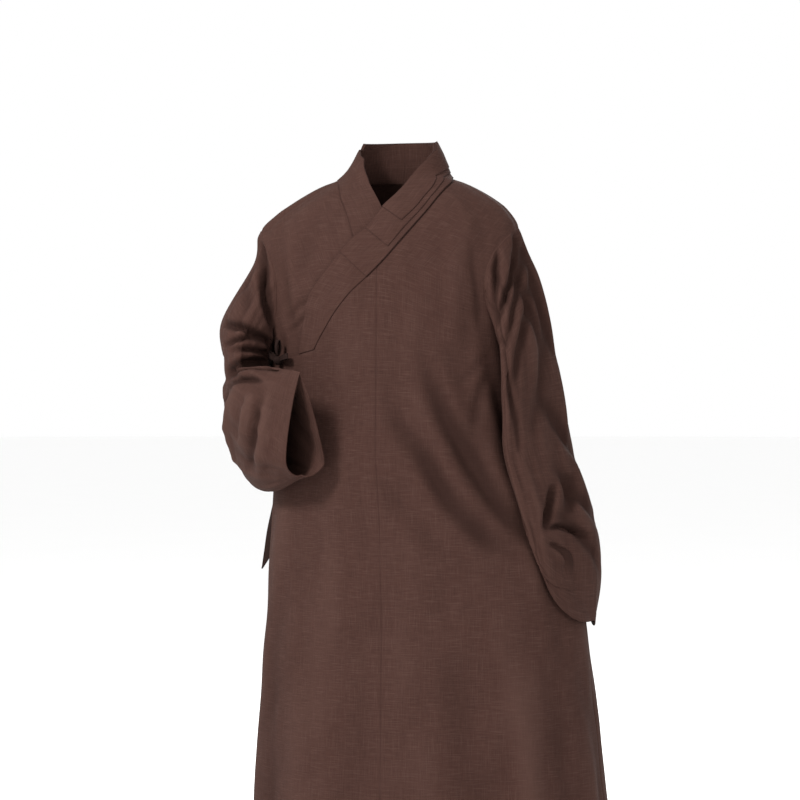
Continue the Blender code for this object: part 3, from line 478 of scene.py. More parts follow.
class RobeColours(PropertyGroup):
    """Colours of the cloth and the studio."""

    warp: FloatVectorProperty(
        name="Warp", description="Colour of the lengthways threads",
        subtype="COLOR", size=3, min=0.0, max=1.0, default=(0.0345, 0.0155, 0.0118))
    weft: FloatVectorProperty(
        name="Weft", description="Colour of the crossways threads",
        subtype="COLOR", size=3, min=0.0, max=1.0, default=(0.0405, 0.0198, 0.0156))
    slub: FloatVectorProperty(
        name="Slubs", description="Colour of the thick light threads",
        subtype="COLOR", size=3, min=0.0, max=1.0, default=(0.0690, 0.0375, 0.0300))
    shade: FloatVectorProperty(
        name="Dark threads", description="Colour of the thin dark threads and the seams",
        subtype="COLOR", size=3, min=0.0, max=1.0, default=(0.0190, 0.0092, 0.0076))
    # Tie tape darker than the robe's cloth: painted shade for the shadow in which the ties hang
    tape: FloatVectorProperty(
        name="Tie tape", description="Colour of the ties",
        subtype="COLOR", size=3, min=0.0, max=1.0, default=(0.0150, 0.0080, 0.0066))
    floor: FloatVectorProperty(
        name="Floor", description="Colour of the studio floor",
        subtype="COLOR", size=3, min=0.0, max=1.0, default=(0.97, 0.97, 0.968))


def sizes():
    """Sizes held by the open scene."""
    return bpy.context.scene.robe_sizes


def colours():
    """Colours held by the open scene."""
    return bpy.context.scene.robe_colours


def smooth_step(value):
    """Rise from 0 to 1 as the value goes from 0 to 1, level at both ends: 3v^2 - 2v^3."""
    value = np.clip(value, 0.0, 1.0)
    return value * value * (3.0 - 2.0 * value)


def unit(vectors):
    """Each vector over its own length."""
    length = np.linalg.norm(vectors, axis=-1, keepdims=True)
    return vectors / np.maximum(length, 1e-12)


def through(places, known, values):
    """Cubic through known values that never overshoots them."""
    step = np.diff(known)
    slope = np.diff(values) / step
    inner = np.where(slope[:-1] * slope[1:] > 0,
                     2.0 * slope[:-1] * slope[1:] / (slope[:-1] + slope[1:] + 1e-30), 0.0)
    tangent = np.concatenate([slope[:1], inner, slope[-1:]])
    index = np.clip(np.searchsorted(known, places) - 1, 0, len(known) - 2)
    part = np.clip((places - known[index]) / step[index], 0.0, 1.0)
    rise = smooth_step(part)
    start = part * (1.0 - part) ** 2 * step[index] * tangent[index]
    end = part ** 2 * (part - 1.0) * step[index] * tangent[index + 1]
    return values[index] * (1.0 - rise) + values[index + 1] * rise + start + end


def along_rows(table, places):
    """Smooth curve through the rows of a table, with one place from 0 to 1 for each point."""
    rows = len(table)
    spot = np.clip(places, 0.0, 1.0) * (rows - 1)
    index = np.minimum(spot.astype(int), rows - 2)
    part = (spot - index).reshape(-1, *([1] * (table.ndim - 1)))
    before = table[np.maximum(index - 1, 0)]
    start = table[index]
    end = table[index + 1]
    after = table[np.minimum(index + 2, rows - 1)]
    return 0.5 * (2.0 * start + (end - before) * part
                  + (2.0 * before - 5.0 * start + 4.0 * end - after) * part ** 2
                  + (3.0 * start - before - 3.0 * end + after) * part ** 3)


def seam_spread(cells, first=True, last=True):
    """Shares from 0 to 1 with extra lines close to a seam at either end."""
    start = list(SEAM_LINES) if first else [0.0]
    end = [1.0 - line for line in SEAM_LINES[::-1]] if last else [1.0]
    middle = np.linspace(start[-1], end[0], cells + 1)[1:-1]
    return np.concatenate([start, middle, end])


def section(height):
    """Middle, half width, front depth and back depth of the trunk at a height."""
    height = np.asarray(height, dtype=float)
    return [through(height, SECTIONS[:, 0], SECTIONS[:, column]) for column in range(1, 5)]


def trunk_plain(angle, height):
    """x = middle + width cos(angle), y = -depth sin(angle), z = height."""
    middle, width, front, back = section(height)
    depth = np.where(np.sin(angle) > 0.0, front, back)
    return np.stack([middle + width * np.cos(angle), -depth * np.sin(angle),
                     height + 0.0 * angle], axis=-1)


def across_view(points, turn=VIEW_TURN):
    """Place of each point across the view from an azimuth."""
    return points[..., 0] * math.cos(turn) + points[..., 1] * math.sin(turn)


def view_angle(across, height):
    """Angle of the front point that lies at this place across the quarter view."""
    middle, width, front, _ = section(height)
    wide = width * math.cos(VIEW_TURN)
    deep = front * math.sin(VIEW_TURN)
    reach = np.hypot(wide, deep)
    offset = np.clip((across - middle * math.cos(VIEW_TURN)) / reach, -1.0, 1.0)
    return np.arccos(offset) - np.arctan2(deep, wide)


def crease_height(across, up, creases):
    """Sum of creases. Each is height * exp(-(s/w)^2) * (1 + lean s/w), where s is the signed
    distance from its path and w its half width; it fades towards the path's ends."""
    total = np.zeros(np.shape(across))
    for path, half_width, height, lean in creases:
        points = along_rows(np.array(path), np.linspace(0.0, 1.0, 4 * len(path)))
        way = np.diff(points, axis=0)
        length = np.linalg.norm(way, axis=1)
        way = way / length[:, None]
        done = np.concatenate([[0.0], np.cumsum(length)])
        low = points.min(0) - CREASE_REACH * half_width
        high = points.max(0) + CREASE_REACH * half_width
        near = (across > low[0]) & (across < high[0]) & (up > low[1]) & (up < high[1])
        if not near.any():
            continue
        aside = across[near][:, None] - points[None, :-1, 0]
        above = up[near][:, None] - points[None, :-1, 1]
        along = np.clip(aside * way[:, 0] + above * way[:, 1], 0.0, length)
        off_aside = aside - along * way[:, 0]
        off_above = above - along * way[:, 1]
        gap = np.hypot(off_aside, off_above)
        nearest = gap.argmin(axis=1)
        pick = np.arange(len(nearest))
        place = (done[nearest] + along[pick, nearest]) / done[-1]
        side = way[nearest, 0] * off_above[pick, nearest] - way[nearest, 1] * off_aside[pick, nearest]
        reach = gap[pick, nearest] / half_width
        fade = CREASE_ENDS + (1.0 - CREASE_ENDS) * np.sin(math.pi * place) ** CREASE_FADE_POWER
        signed = np.clip(side / half_width, -LEAN_LIMIT, LEAN_LIMIT)
        total[near] += height * fade * np.exp(-reach ** 2) * (1.0 + lean * CREASE_LEAN * signed)
    return total


def view_relief(points, normals, views):
    """Height of every view's creases, faded where the surface turns away from that view."""
    total = np.zeros(points.shape[:-1])
    for azimuth, creases in views.items():
        turn = math.radians(azimuth)
        to_view = np.array([math.sin(turn), -math.cos(turn), 0.0])
        facing = smooth_step((normals @ to_view - FACING_START) / FACING_RUN)
        total += facing * crease_height(across_view(points, turn), points[..., 2], creases)
    return sizes().crease_share * total


def ripple(turn, height):
    """Sum of slow waves round the cloth and up it."""
    total = np.zeros(np.shape(turn + height))
    for round_waves, up_waves, start, rise in RIPPLES:
        total += rise * np.sin(round_waves * turn + 2.0 * math.pi * up_waves * height + start)
    return sizes().ripple_share * total


def trunk_relief(angle, height, plain, normal):
    """Height of the trunk's folds, creases and unevenness over its plain form."""
    turn = np.degrees(angle)
    total = np.zeros(np.shape(turn + height))
    for middle, spread, top, rise in HEM_FOLDS:
        away = (turn - middle + 180.0) % 360.0 - 180.0
        depth = smooth_step((top - height) / (top - HEM)) ** FOLD_RAMP
        total += rise * depth * np.exp(-(away / spread) ** 2)
    below_collar = smooth_step((NECK_BASE - height) / RIPPLE_START)
    uneven = below_collar * ripple(angle, height)
    return total + uneven + view_relief(plain, normal, TRUNK_CREASES)


def creased_trunk(angle, height, out=0.0):
    """Point of the trunk moved out along its normal by its relief and a distance, the normal,
    and the share of the relief that is painted on the cloth as shade and highlight."""
    angle, height = np.broadcast_arrays(np.asarray(angle, float), np.asarray(height, float))
    low = np.maximum(height - NORMAL_RISE, SECTIONS[0, 0])
    high = np.minimum(height + NORMAL_RISE, SECTIONS[-1, 0])
    round_way = (trunk_plain(angle + NORMAL_TURN, height)
                 - trunk_plain(angle - NORMAL_TURN, height))
    up_way = trunk_plain(angle, high) - trunk_plain(angle, low)
    normal = unit(np.cross(up_way, round_way))
    plain = trunk_plain(angle, height)
    relief = trunk_relief(angle, height, plain, normal)
    return plain + (relief + out)[..., None] * normal, normal, TRUNK_SHADING_SHARE * relief


def trunk(angle, height, out=0.0):
    """Point and normal of the creased trunk."""
    return creased_trunk(angle, height, out)[:2]


def armhole(side, ring):
    """Angle and height of the armhole at each ring angle: 0 at its top, 90 degrees in front."""
    middle = 0.5 * (ARMPIT + SHOULDER_TIP)
    height = middle + 0.5 * (SHOULDER_TIP - ARMPIT) * np.cos(ring)
    _, _, front, back = section(height)
    ahead = np.sin(ring) > 0.0
    reach = np.where(ahead, ARMHOLE_FRONT * np.sin(ring) / front, ARMHOLE_BACK * np.sin(ring) / back)
    angle = np.arcsin(reach)
    return (angle if side > 0 else math.pi - angle), height


def ring_angles():
    """Angles round a sleeve ring."""
    return np.arange(2 * HALF_RING) * math.pi / HALF_RING


def clear_of_trunk(points, reach):
    """Points moved level and outwards clear of the trunk, the more so away from the armhole
    and from the ellipse of the armhole, where the trunk has no cloth."""
    middle, width, front, back = section(points[..., 2])
    depth = np.where(points[..., 1] < 0.0, front, back)
    aside = points[..., 0] - middle
    ratio = np.sqrt((aside / width) ** 2 + (points[..., 1] / depth) ** 2)
    half_hole = 0.5 * (SHOULDER_TIP - ARMPIT)
    up = (points[..., 2] - ARMPIT) / half_hole - 1.0
    forward = points[..., 1] / np.where(points[..., 1] < 0.0, ARMHOLE_FRONT, ARMHOLE_BACK)
    beside = smooth_step((up ** 2 + forward ** 2 - 1.0) / ARMHOLE_BLEND)
    wanted = 1.0 + SLEEVE_CLEARANCE / depth * (1.0 - np.exp(-reach / CLEARANCE_RUN)) * beside
    grow = np.where(ratio < wanted, wanted / np.maximum(ratio, 1e-6), 1.0)
    moved = points.copy()
    moved[..., 0] = middle + aside * grow
    moved[..., 1] = points[..., 1] * grow
    return moved


def grid_normals(points, closed):
    """Normals of a grid from the differences between its neighbours."""
    along = np.gradient(points, axis=0)
    if closed:
        around = np.roll(points, -1, axis=1) - np.roll(points, 1, axis=1)
    else:
        around = np.gradient(points, axis=1)
    return unit(np.cross(along, around))


def row_lengths(points):
    """Distance along each row of a grid from its first column."""
    step = np.linalg.norm(np.diff(points, axis=1), axis=-1)
    return np.concatenate([np.zeros((len(points), 1)), np.cumsum(step, axis=1)], axis=1)


def column_lengths(points):
    """Distance along each column of a grid from its first row."""
    return row_lengths(points.transpose(1, 0, 2)).T


def seam_groove(points, normals, distance):
    """Points lowered beside a seam by depth * exp(-(distance / run)^2)."""
    return points - SEAM_DEPTH * np.exp(-(distance / SEAM_RUN) ** 2)[..., None] * normals


def sleeve_surface(side, table, views, phase):
    """Rings through the table's points, joined to the armhole, clear of the trunk and creased."""
    ring = ring_angles()
    places = seam_spread(SLEEVE_CELLS, True, False)
    rows = along_rows(table, places)
    middle = rows[:, None, 0]
    cuff_power = LEFT_CUFF_POWER if side > 0 else RIGHT_CUFF_POWER
    shaped = smooth_step((places - CUFF_SHAPE_START) / CUFF_SHAPE_RUN)[:, None]
    power = 2.0 + (cuff_power - 2.0) * shaped
    boxed = (np.abs(np.cos(ring)) ** power + np.abs(np.sin(ring)) ** power) ** (-1.0 / power)
    weights = (np.maximum(np.cos(ring), 0.0), np.maximum(np.sin(ring), 0.0),
               np.maximum(-np.cos(ring), 0.0), np.maximum(-np.sin(ring), 0.0))
    points = middle + sum((boxed * weight)[..., None] * (rows[:, None, column] - middle)
                          for column, weight in enumerate(weights, start=1))
    angle, height = armhole(side, ring)
    seam, _ = trunk(angle, height)
    join = 1.0 - smooth_step(places * (len(table) - 1))
    points = points + join[:, None, None] * (seam - points[0])[None]
    reach = np.linalg.norm(points - seam[None], axis=-1)
    points = np.concatenate([points[:1], clear_of_trunk(points[1:], reach[1:])])
    normals = grid_normals(points, closed=True)
    outward = np.sum(normals * (points - middle), axis=-1).mean() > 0.0
    normals = normals if outward else -normals
    grown = (smooth_step(places / CREASE_FADE_IN)
             * (1.0 - CUFF_CALM * smooth_step((places - CUFF_CALM_START) / CUFF_CALM_RUN)))[:, None]
    uneven = ripple(ring[None, :] + phase, SLEEVE_WAVES * places[:, None])
    relief = grown * (SLEEVE_CREASE_SHARE * view_relief(points, normals, views) + uneven)
    points = points + relief[..., None] * normals
    finished = grid_normals(points, closed=True)
    finished = finished if outward else -finished
    return points, finished, relief


def panel_heights():
    """Heights of the panel rows: below the armpit, along the armhole, and over the shoulder."""
    below = HEM + (ARMPIT - HEM) * seam_spread(BELOW_CELLS, False, False)
    _, hole = armhole(1.0, np.linspace(math.pi, 0.0, HALF_RING + 1))
    above = SHOULDER_TIP + (NECK_BASE - SHOULDER_TIP) * seam_spread(SHOULDER_CELLS, False, True)
    return np.concatenate([below, hole[1:], above[1:]])


def armhole_rows():
    """Which panel rows lie on the armhole, from the armpit to the shoulder tip."""
    start = BELOW_CELLS
    return slice(start, start + HALF_RING + 1)


def side_angles(side, front):
    """Angle of a panel's outer edge in each row: side seam, armhole, then shoulder seam."""
    edge = np.full(len(panel_heights()), 0.0 if side > 0 else math.pi)
    sweep = np.linspace(math.pi, 0.0, HALF_RING + 1) * (1.0 if front else -1.0)
    edge[armhole_rows()] = armhole(side, sweep)[0]
    return edge


def band_curve(table, height):
    """Sewn and free edge of a collar band at heights of its sewn edge, as angle and height."""
    fine = along_rows(table, np.linspace(0.0, 1.0, BAND_CURVE_POINTS))
    order = np.argsort(fine[:, 3])
    free_across, free_up, sewn_across = [
        np.interp(height, fine[order, 3], fine[order, column]) for column in range(3)]
    sewn = np.stack([view_angle(sewn_across, height), height + 0.0 * sewn_across], -1)
    free = np.stack([view_angle(free_across, free_up), free_up], -1)
    return sewn, free


def under_inset(angle, height):
    """Depth of the under front below the trunk: none at its seams, full where it is covered."""
    edge = np.interp(height, panel_heights(), side_angles(-1.0, True))
    away = np.clip(edge - angle, 0.0, None)
    return OVERLAP_DEPTH * smooth_step(away / UNDER_RUN)


def centre_angles(height):
    """Angle of the centre-front seam at each height."""
    return view_angle(np.interp(height, CENTRE_SEAM[:, 0], CENTRE_SEAM[:, 1]), height)


def seam_corner():
    """Height at which the centre-front seam meets the collar band's sewn edge."""
    height = np.linspace(LEFT_BAND[-1, 3], LEFT_BAND[0, 3], CORNER_SEARCH_POINTS)
    sewn, _ = band_curve(LEFT_BAND, height)
    meets = sewn[:, 0] >= centre_angles(height)
    return float(height[np.nonzero(meets)[0][-1]])


def overlap_top():
    """Upper edge of the overlap: the band's sewn edge, its end, then a slope to the side."""
    along_band = np.linspace(seam_corner(), LEFT_BAND[-1, 3], BAND_FRONT_CELLS // 2)
    sewn, free = band_curve(LEFT_BAND, along_band)
    sewn[0, 0] = centre_angles(np.array([along_band[0]]))[0]
    across = np.linspace(1.0, 0.0, BAND_END_CELLS + 1)[1:, None]
    band_end = free[-1] + across * (sewn[-1] - free[-1])
    part = np.linspace(0.0, 1.0, OVERLAP_SLOPE_CELLS + 1)[1:, None]
    last = np.array([OVERLAP_EDGE, ARMPIT - OVERLAP_DROP])
    return np.concatenate([sewn, band_end, free[-1] + part * (last - free[-1])])


def overlap_out(angle):
    """Extra height of the overlap near its free edge, where the under front rises."""
    return OVERLAP_LIFT * smooth_step((angle - LIFT_START) / LIFT_RUN)


def turned_edge(distance):
    """Rise of the cloth over an edge turned up inside, less the dip along its stitches."""
    raised = HEM_RISE * (1.0 - smooth_step((distance - HEM_TURN + HEM_STEP) / HEM_STEP))
    return raised - HEM_RISE * np.exp(-((distance - HEM_TURN) / HEM_STITCH_RUN) ** 2)


def hem_turn(points, normals, height):
    """Points moved out by the turned edge's rise at their height above the hem."""
    return points + turned_edge(height - HEM)[..., None] * normals


def shell_object(name, outer, inner, closed, threads, edge, material, relief=None):
    """Closed wall between two grids, with a rim round every open edge. The UV map holds
    distances along the threads, the attribute edge the distance to the nearest seam, and the
    shading attribute how deep a point lies in a trough, for painted shade, or below 0 on a ridge, for
    a painted highlight."""
    rows, columns = outer.shape[:2]
    count = rows * columns
    index = np.arange(count).reshape(rows, columns)
    wide = np.concatenate([index, index[:, :1]], axis=1) if closed else index
    place = np.arange(rows * wide.shape[1]).reshape(rows, wide.shape[1])

    def quads(grid):
        return np.stack([grid[:-1, :-1].ravel(), grid[:-1, 1:].ravel(),
                         grid[1:, 1:].ravel(), grid[1:, :-1].ravel()], 1)

    faces = [quads(wide), quads(wide)[:, ::-1] + count]
    corners = [quads(place), quads(place)[:, ::-1]]
    borders = [(wide[0], place[0]), (wide[-1][::-1], place[-1][::-1])]
    if not closed:
        borders += [(wide[:, 0][::-1], place[:, 0][::-1]), (wide[:, -1], place[:, -1])]
    for border, spot in borders:
        near, far = border[:-1], border[1:]
        faces.append(np.stack([far, near, near + count, far + count], 1))
        corners.append(np.stack([spot[1:], spot[:-1], spot[:-1], spot[1:]], 1))
    faces = np.concatenate(faces)
    corners = np.concatenate(corners)
    points = np.concatenate([outer.reshape(-1, 3), inner.reshape(-1, 3)])
    first, second, third, fourth = (points[faces[:, number]] for number in range(4))
    volume = np.sum(np.cross(first, second) * third) + np.sum(np.cross(first, third) * fourth)
    if volume < 0.0:
        faces = faces[:, ::-1]
        corners = corners[:, ::-1]
    mesh = bpy.data.meshes.new(name)
    mesh.from_pydata(points.tolist(), [], faces.tolist())
    mesh.shade_smooth()
    mesh.set_sharp_from_angle(angle=SHARP_TURN)
    layer = mesh.uv_layers.new(name="threads")
    layer.data.foreach_set("uv", threads.reshape(-1, 2)[corners.ravel()].astype(np.float32).ravel())
    attribute = mesh.attributes.new("edge", "FLOAT", "POINT")
    attribute.data.foreach_set("value", np.tile(edge.ravel(), 2).astype(np.float32))
    # Painted shade in troughs and painted highlight on ridges, from the relief scaled to -1..1
    fold_shading = np.zeros(count) if relief is None else np.clip(-relief.ravel() / SHADING_FULL_DEPTH, -1.0, 1.0)
    attribute = mesh.attributes.new("fold_shading", "FLOAT", "POINT")
    attribute.data.foreach_set("value", np.tile(fold_shading, 2).astype(np.float32))
    mesh.materials.append(material)
    piece = bpy.data.objects.new(name, mesh)
    bpy.context.scene.collection.objects.link(piece)
    return piece


def finish_piece(piece, node):
    """Attach a piece to the root body in the place of its solid, and hide the solid."""
    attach(piece, "root")
    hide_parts(node)


def edge_distance(points, edges):
    """Distance of each point of a grid from the nearest of the chosen edges."""
    across, along = row_lengths(points), column_lengths(points)
    distance = {
        "first_row": along, "last_row": along[-1:] - along,
        "first_column": across, "last_column": across[:, -1:] - across,
    }
    nearest = np.full(points.shape[:2], 1.0)
    for edge in edges:
        nearest = np.minimum(nearest, distance[edge])
    return nearest


def panel_threads(points, from_last):
    """Distance across from the inner edge and up from the hem, for the weave."""
    across = row_lengths(points)
    across = across[:, -1:] - across if from_last else across
    return np.stack([across, column_lengths(points)], -1)


def panel_piece(name, side, front, inner_angles, ring_mitre, material, inset=None):
    """Front or back piece between its outer edge and the given inner edge."""
    height = panel_heights()
    edge = side_angles(side, front)
    part = seam_spread(PANEL_CELLS)[None, :]
    angle = edge[:, None] + part * (inner_angles - edge)[:, None]
    height = height[:, None] + 0.0 * part
    depth = inset(angle, height) if inset else np.zeros(angle.shape)
    outer, normals, relief = creased_trunk(angle, height, -depth)
    ring = np.arange(HALF_RING, -1, -1) * (1 if front else -1) % (2 * HALF_RING)
    seam = edge_distance(outer, ("last_row", "last_column"))
    below = height < ARMPIT
    seam = np.where(below, np.minimum(seam, row_lengths(outer)), seam)
    outer = seam_groove(outer, normals, seam)
    outer = hem_turn(outer, normals, height)
    normals[armhole_rows(), 0] = ring_mitre[ring]
    inner = outer - sizes().wall * normals
    threads = panel_threads(trunk_plain(angle, height), True)
    return shell_object(f"cloth_{name}", outer, inner, False, threads, seam, material, relief)


def mitres(side, sleeve_normals):
    """Shared normals round an armhole, halfway between the trunk's and the sleeve's."""
    angle, height = armhole(side, ring_angles())
    _, normal = trunk(angle, height)
    return unit(normal + sleeve_normals[0])


def sleeve_piece(name, surface, ring_mitre, material):
    """Sleeve wall from its armhole seam to the turned cuff."""
    points, normals, relief = surface
    normals = normals.copy()
    along = column_lengths(np.concatenate([points, points[:, :1]], axis=1))[:, :-1]
    left = along[-1:] - along
    underarm = UNDERARM_DEPTH * np.exp(-((ring_angles() - math.pi) / UNDERARM_RUN) ** 2)
    shift = turned_edge(left) - underarm[None, :] * smooth_step(along / UNDERARM_START)
    outer = points + shift[..., None] * normals
    normals[0] = ring_mitre
    inner = outer - sizes().wall * normals
    loop = np.concatenate([outer, outer[:, :1]], axis=1)
    around = np.linspace(0.0, row_lengths(loop)[:, -1].mean(), loop.shape[1])
    threads = np.stack(np.broadcast_arrays(around[None, :], along.mean(axis=1)[:, None]), -1)
    edge = np.abs(left - HEM_TURN) + 0.0005
    return shell_object(f"cloth_{name}", outer, inner, True, threads, edge, material, relief)


def neck_path(side, start):
    """Sewn and free edge round the back of the neck, from a start angle to the side."""
    end = 0.0 if side > 0 else math.pi
    angle = np.linspace(start, end, NECK_CELLS + 1)
    rise = COLLAR_TOP - (LEFT_DIP if side > 0 else RIGHT_DIP) * np.cos(angle) ** 2
    sewn = np.stack([angle, np.full(angle.shape, NECK_BASE)], -1)
    return sewn, np.stack([angle, rise], -1)


def left_path(start):
    """Edges of the left collar band from a start angle behind the neck to its lower end."""
    sewn_neck, free_neck = neck_path(1.0, start)
    corner = seam_corner()
    upper = np.linspace(LEFT_BAND[0, 3] - BAND_START_DROP, corner, BAND_FRONT_CELLS // 2)
    lower = np.linspace(corner, LEFT_BAND[-1, 3], BAND_FRONT_CELLS // 2)[1:]
    sewn, free = band_curve(LEFT_BAND, np.concatenate([upper, lower]))
    edge = np.array([[LEFT_CORNER, NECK_BASE]])
    edge_free = 0.5 * (free_neck[-1:] + free[:1])
    return (np.concatenate([sewn_neck[:-1], edge, sewn]),
            np.concatenate([free_neck[:-1], edge_free, free]))


def right_path():
    """Edges of the right collar band from the centre back to its hidden lower end."""
    sewn_neck, free_neck = neck_path(-1.0, 1.5 * math.pi)
    rows = np.linspace(RIGHT_BAND[0, 3] - BAND_START_DROP, RIGHT_BAND[-1, 3], BAND_FRONT_CELLS)
    sewn, free = band_curve(RIGHT_BAND, rows)
    edge = np.array([[RIGHT_CORNER, NECK_BASE]])
    edge_free = 0.5 * (free_neck[-1:] + free[:1])
    return (np.concatenate([sewn_neck[:-1], edge, sewn]),
            np.concatenate([free_neck[:-1], edge_free, free]))


def band_piece(name, path, width, out, wall, material, inset=None, seams=()):
    """Strip between the free and the sewn edge of a collar path, moved out from the trunk."""
    sewn, free = path
    part = seam_spread(BAND_CELLS)[None, :, None] * width
    spot = free[:, None] + part * (sewn - free)[:, None]
    angle, height = spot[..., 0], spot[..., 1]
    depth = inset(angle, height) if inset else np.zeros(angle.shape)
    outer, normals = trunk(angle, height, out - depth)
    shift = np.zeros(outer.shape)
    if "first_row" in seams:
        shift[0] += 0.5 * SEAM_GAP * unit(outer[1] - outer[0])
    if "last_row" in seams:
        shift[-1] += 0.5 * SEAM_GAP * unit(outer[-2] - outer[-1])
    if "last_column" in seams:
        shift[:, -1] += 0.5 * SEAM_GAP * unit(outer[:, -2] - outer[:, -1])
    outer = outer + shift
    stitched = edge_distance(outer, ("first_column", "last_column", "last_row"))
    dip = STITCH_DEPTH * np.exp(-((stitched - STITCH_PLACE) / STITCH_RUN) ** 2)
    round_edge = ROUND_DEPTH * np.exp(-(stitched / ROUND_RUN) ** 2)
    outer = outer - (dip + round_edge)[..., None] * normals
    plain = trunk_plain(angle, height)
    threads = np.stack([row_lengths(plain), column_lengths(plain)], -1)
    return shell_object(f"cloth_{name}", outer, outer - wall * normals, False, threads,
                        stitched, material)


def tie_frame():
    """Middle of the knot, the way across the cloth to the right side, up it, and out of it."""
    middle, ahead = trunk(KNOT_ANGLE, KNOT_HEIGHT, KNOT_OUT)
    across = unit(np.cross(ahead, np.array([0.0, 0.0, -1.0])))
    return middle, across, np.cross(across, ahead), ahead


def knot_piece(name, middle, radius, squash, gathers, ways, material):
    """Ball whose radius swells as 1 + gathers cos(turns): cloth drawn tight into a knot."""
    tilt = np.linspace(0.0, math.pi, 29)[1:-1]
    turn = np.arange(48) * 2.0 * math.pi / 48
    swell = 1.0 + gathers * (np.cos(5.0 * turn)[None, :] * np.sin(tilt)[:, None] ** 2
                             + 0.6 * np.cos(3.0 * tilt)[:, None])
    across, up, ahead = ways
    body = radius * swell[..., None] * (
        (np.sin(tilt)[:, None] * np.cos(turn))[..., None] * across
        + np.cos(tilt)[:, None, None] * squash * up
        + (np.sin(tilt)[:, None] * np.sin(turn))[..., None] * ahead)
    poles = radius * squash * (1.0 + 0.6 * gathers) * np.stack([up, -up])
    rings, sides = body.shape[:2]
    index = np.arange(rings * sides).reshape(rings, sides)
    wide = np.concatenate([index, index[:, :1]], axis=1)
    quads = np.stack([wide[:-1, :-1].ravel(), wide[1:, :-1].ravel(),
                      wide[1:, 1:].ravel(), wide[:-1, 1:].ravel()], 1)
    top, bottom = index.size, index.size + 1
    caps = np.concatenate([
        np.stack([np.full(sides, top), wide[0, :-1], wide[0, 1:]], 1),
        np.stack([np.full(sides, bottom), wide[-1, 1:], wide[-1, :-1]], 1)])
    points = np.concatenate([body.reshape(-1, 3), poles]) + middle
    mesh = bpy.data.meshes.new(name)
    faces = quads.tolist() + caps.tolist()
    corners = points[caps]
    if np.sum(np.cross(corners[:, 0], corners[:, 1]) * (corners[:, 2] - middle)) < 0.0:
        faces = [face[::-1] for face in faces]
    mesh.from_pydata(points.tolist(), [], faces)
    mesh.shade_smooth()
    mesh.materials.append(material)
    piece = bpy.data.objects.new(name, mesh)
    bpy.context.scene.collection.objects.link(piece)
    return piece


def loop_piece(name, turn, material):
    """Flat loop of tape that leaves the knot in one direction and comes back to it."""
    around = np.arange(72) * 2.0 * math.pi / 72
    reach = KNOT_RADIUS + SEAM_GAP + 0.5 * LOOP_LENGTH * (1.0 - np.cos(around))
    bulge = 0.5 * LOOP_DEPTH * np.sin(around)
    spread = np.linspace(-0.5, 0.5, 13)
    path = np.stack([reach, bulge], -1)
    step = np.roll(path, -1, 0) - np.roll(path, 1, 0)
    side_way = unit(np.stack([-step[:, 1], step[:, 0]], -1))
    gather = 0.55 + 0.45 * np.sin(0.5 * around)
    crease = 0.0006 * np.cos(5.0 * math.pi * spread)[:, None] * (1.2 - gather)[None, :]
    knot, aside, up, ahead = tie_frame()
    swing = math.radians(turn)
    way = math.cos(swing) * aside - math.sin(swing) * up
    flat = math.sin(swing) * aside + math.cos(swing) * up
    walls = []
    for offset in (0.0, -sizes().tape_wall):
        moved = path[None] + (offset + crease)[..., None] * side_way[None]
        walls.append(moved[..., :1] * way + moved[..., 1:] * ahead
                     + (LOOP_WIDTH * spread[:, None] * gather[None, :])[..., None] * flat + knot)
    loop = np.concatenate([walls[0], walls[0][:, :1]], axis=1)
    threads = np.stack([column_lengths(loop), row_lengths(loop)], -1)
    edge = np.broadcast_to((LOOP_WIDTH * (0.5 - np.abs(spread)))[:, None], walls[0].shape[:2])
    return shell_object(name, walls[0], walls[1], True, threads, edge, material)


def side_tie_piece(material):
    """Long tape that hangs at the right side, between the two edges of its table."""
    rows = along_rows(SIDE_TIE, np.linspace(0.0, 1.0, 110))
    part = np.linspace(0.0, 1.0, 15)[None, :]
    angle = np.radians(rows[:, 1:2] + part * (rows[:, 3:4] - rows[:, 1:2]))
    out = rows[:, 2:3] + part * (rows[:, 4:5] - rows[:, 2:3])
    outer, _ = trunk(angle, rows[:, :1] + 0.0 * part, out + 0.001 * np.sin(math.pi * part) ** 2)
    normals = grid_normals(outer, closed=False)
    edge = edge_distance(outer, ("first_column", "last_column", "last_row"))
    threads = np.stack([row_lengths(outer), column_lengths(outer)], -1)
    return shell_object("cloth_side_tie", outer, outer - sizes().tape_wall * normals, False,
                        threads, edge, material)


def add_node(tree, kind, values=None, **options):
    """Add a node with its options and the default values of its inputs."""
    node = tree.nodes.new(kind)
    for option, value in options.items():
        setattr(node, option, value)
    for socket, value in (values or {}).items():
        node.inputs[socket].default_value = value
    return node


def mix_colour(tree, share, first, second):
    """Mix of two colours or sockets by a socket or number from 0 to 1."""
    node = add_node(tree, "ShaderNodeMix", data_type="RGBA")
    for socket, value in ((0, share), (6, first), (7, second)):
        if isinstance(value, bpy.types.NodeSocket):
            tree.links.new(value, node.inputs[socket])
        else:
            node.inputs[socket].default_value = value
    return node.outputs[2]


def maths(tree, operation, first, second=0.0, third=0.0):
    """Result of one arithmetic step on sockets or numbers."""
    node = add_node(tree, "ShaderNodeMath", operation=operation)
    for number, value in enumerate((first, second, third)):
        if isinstance(value, bpy.types.NodeSocket):
            tree.links.new(value, node.inputs[number])
        else:
            node.inputs[number].default_value = value
    return node.outputs[0]


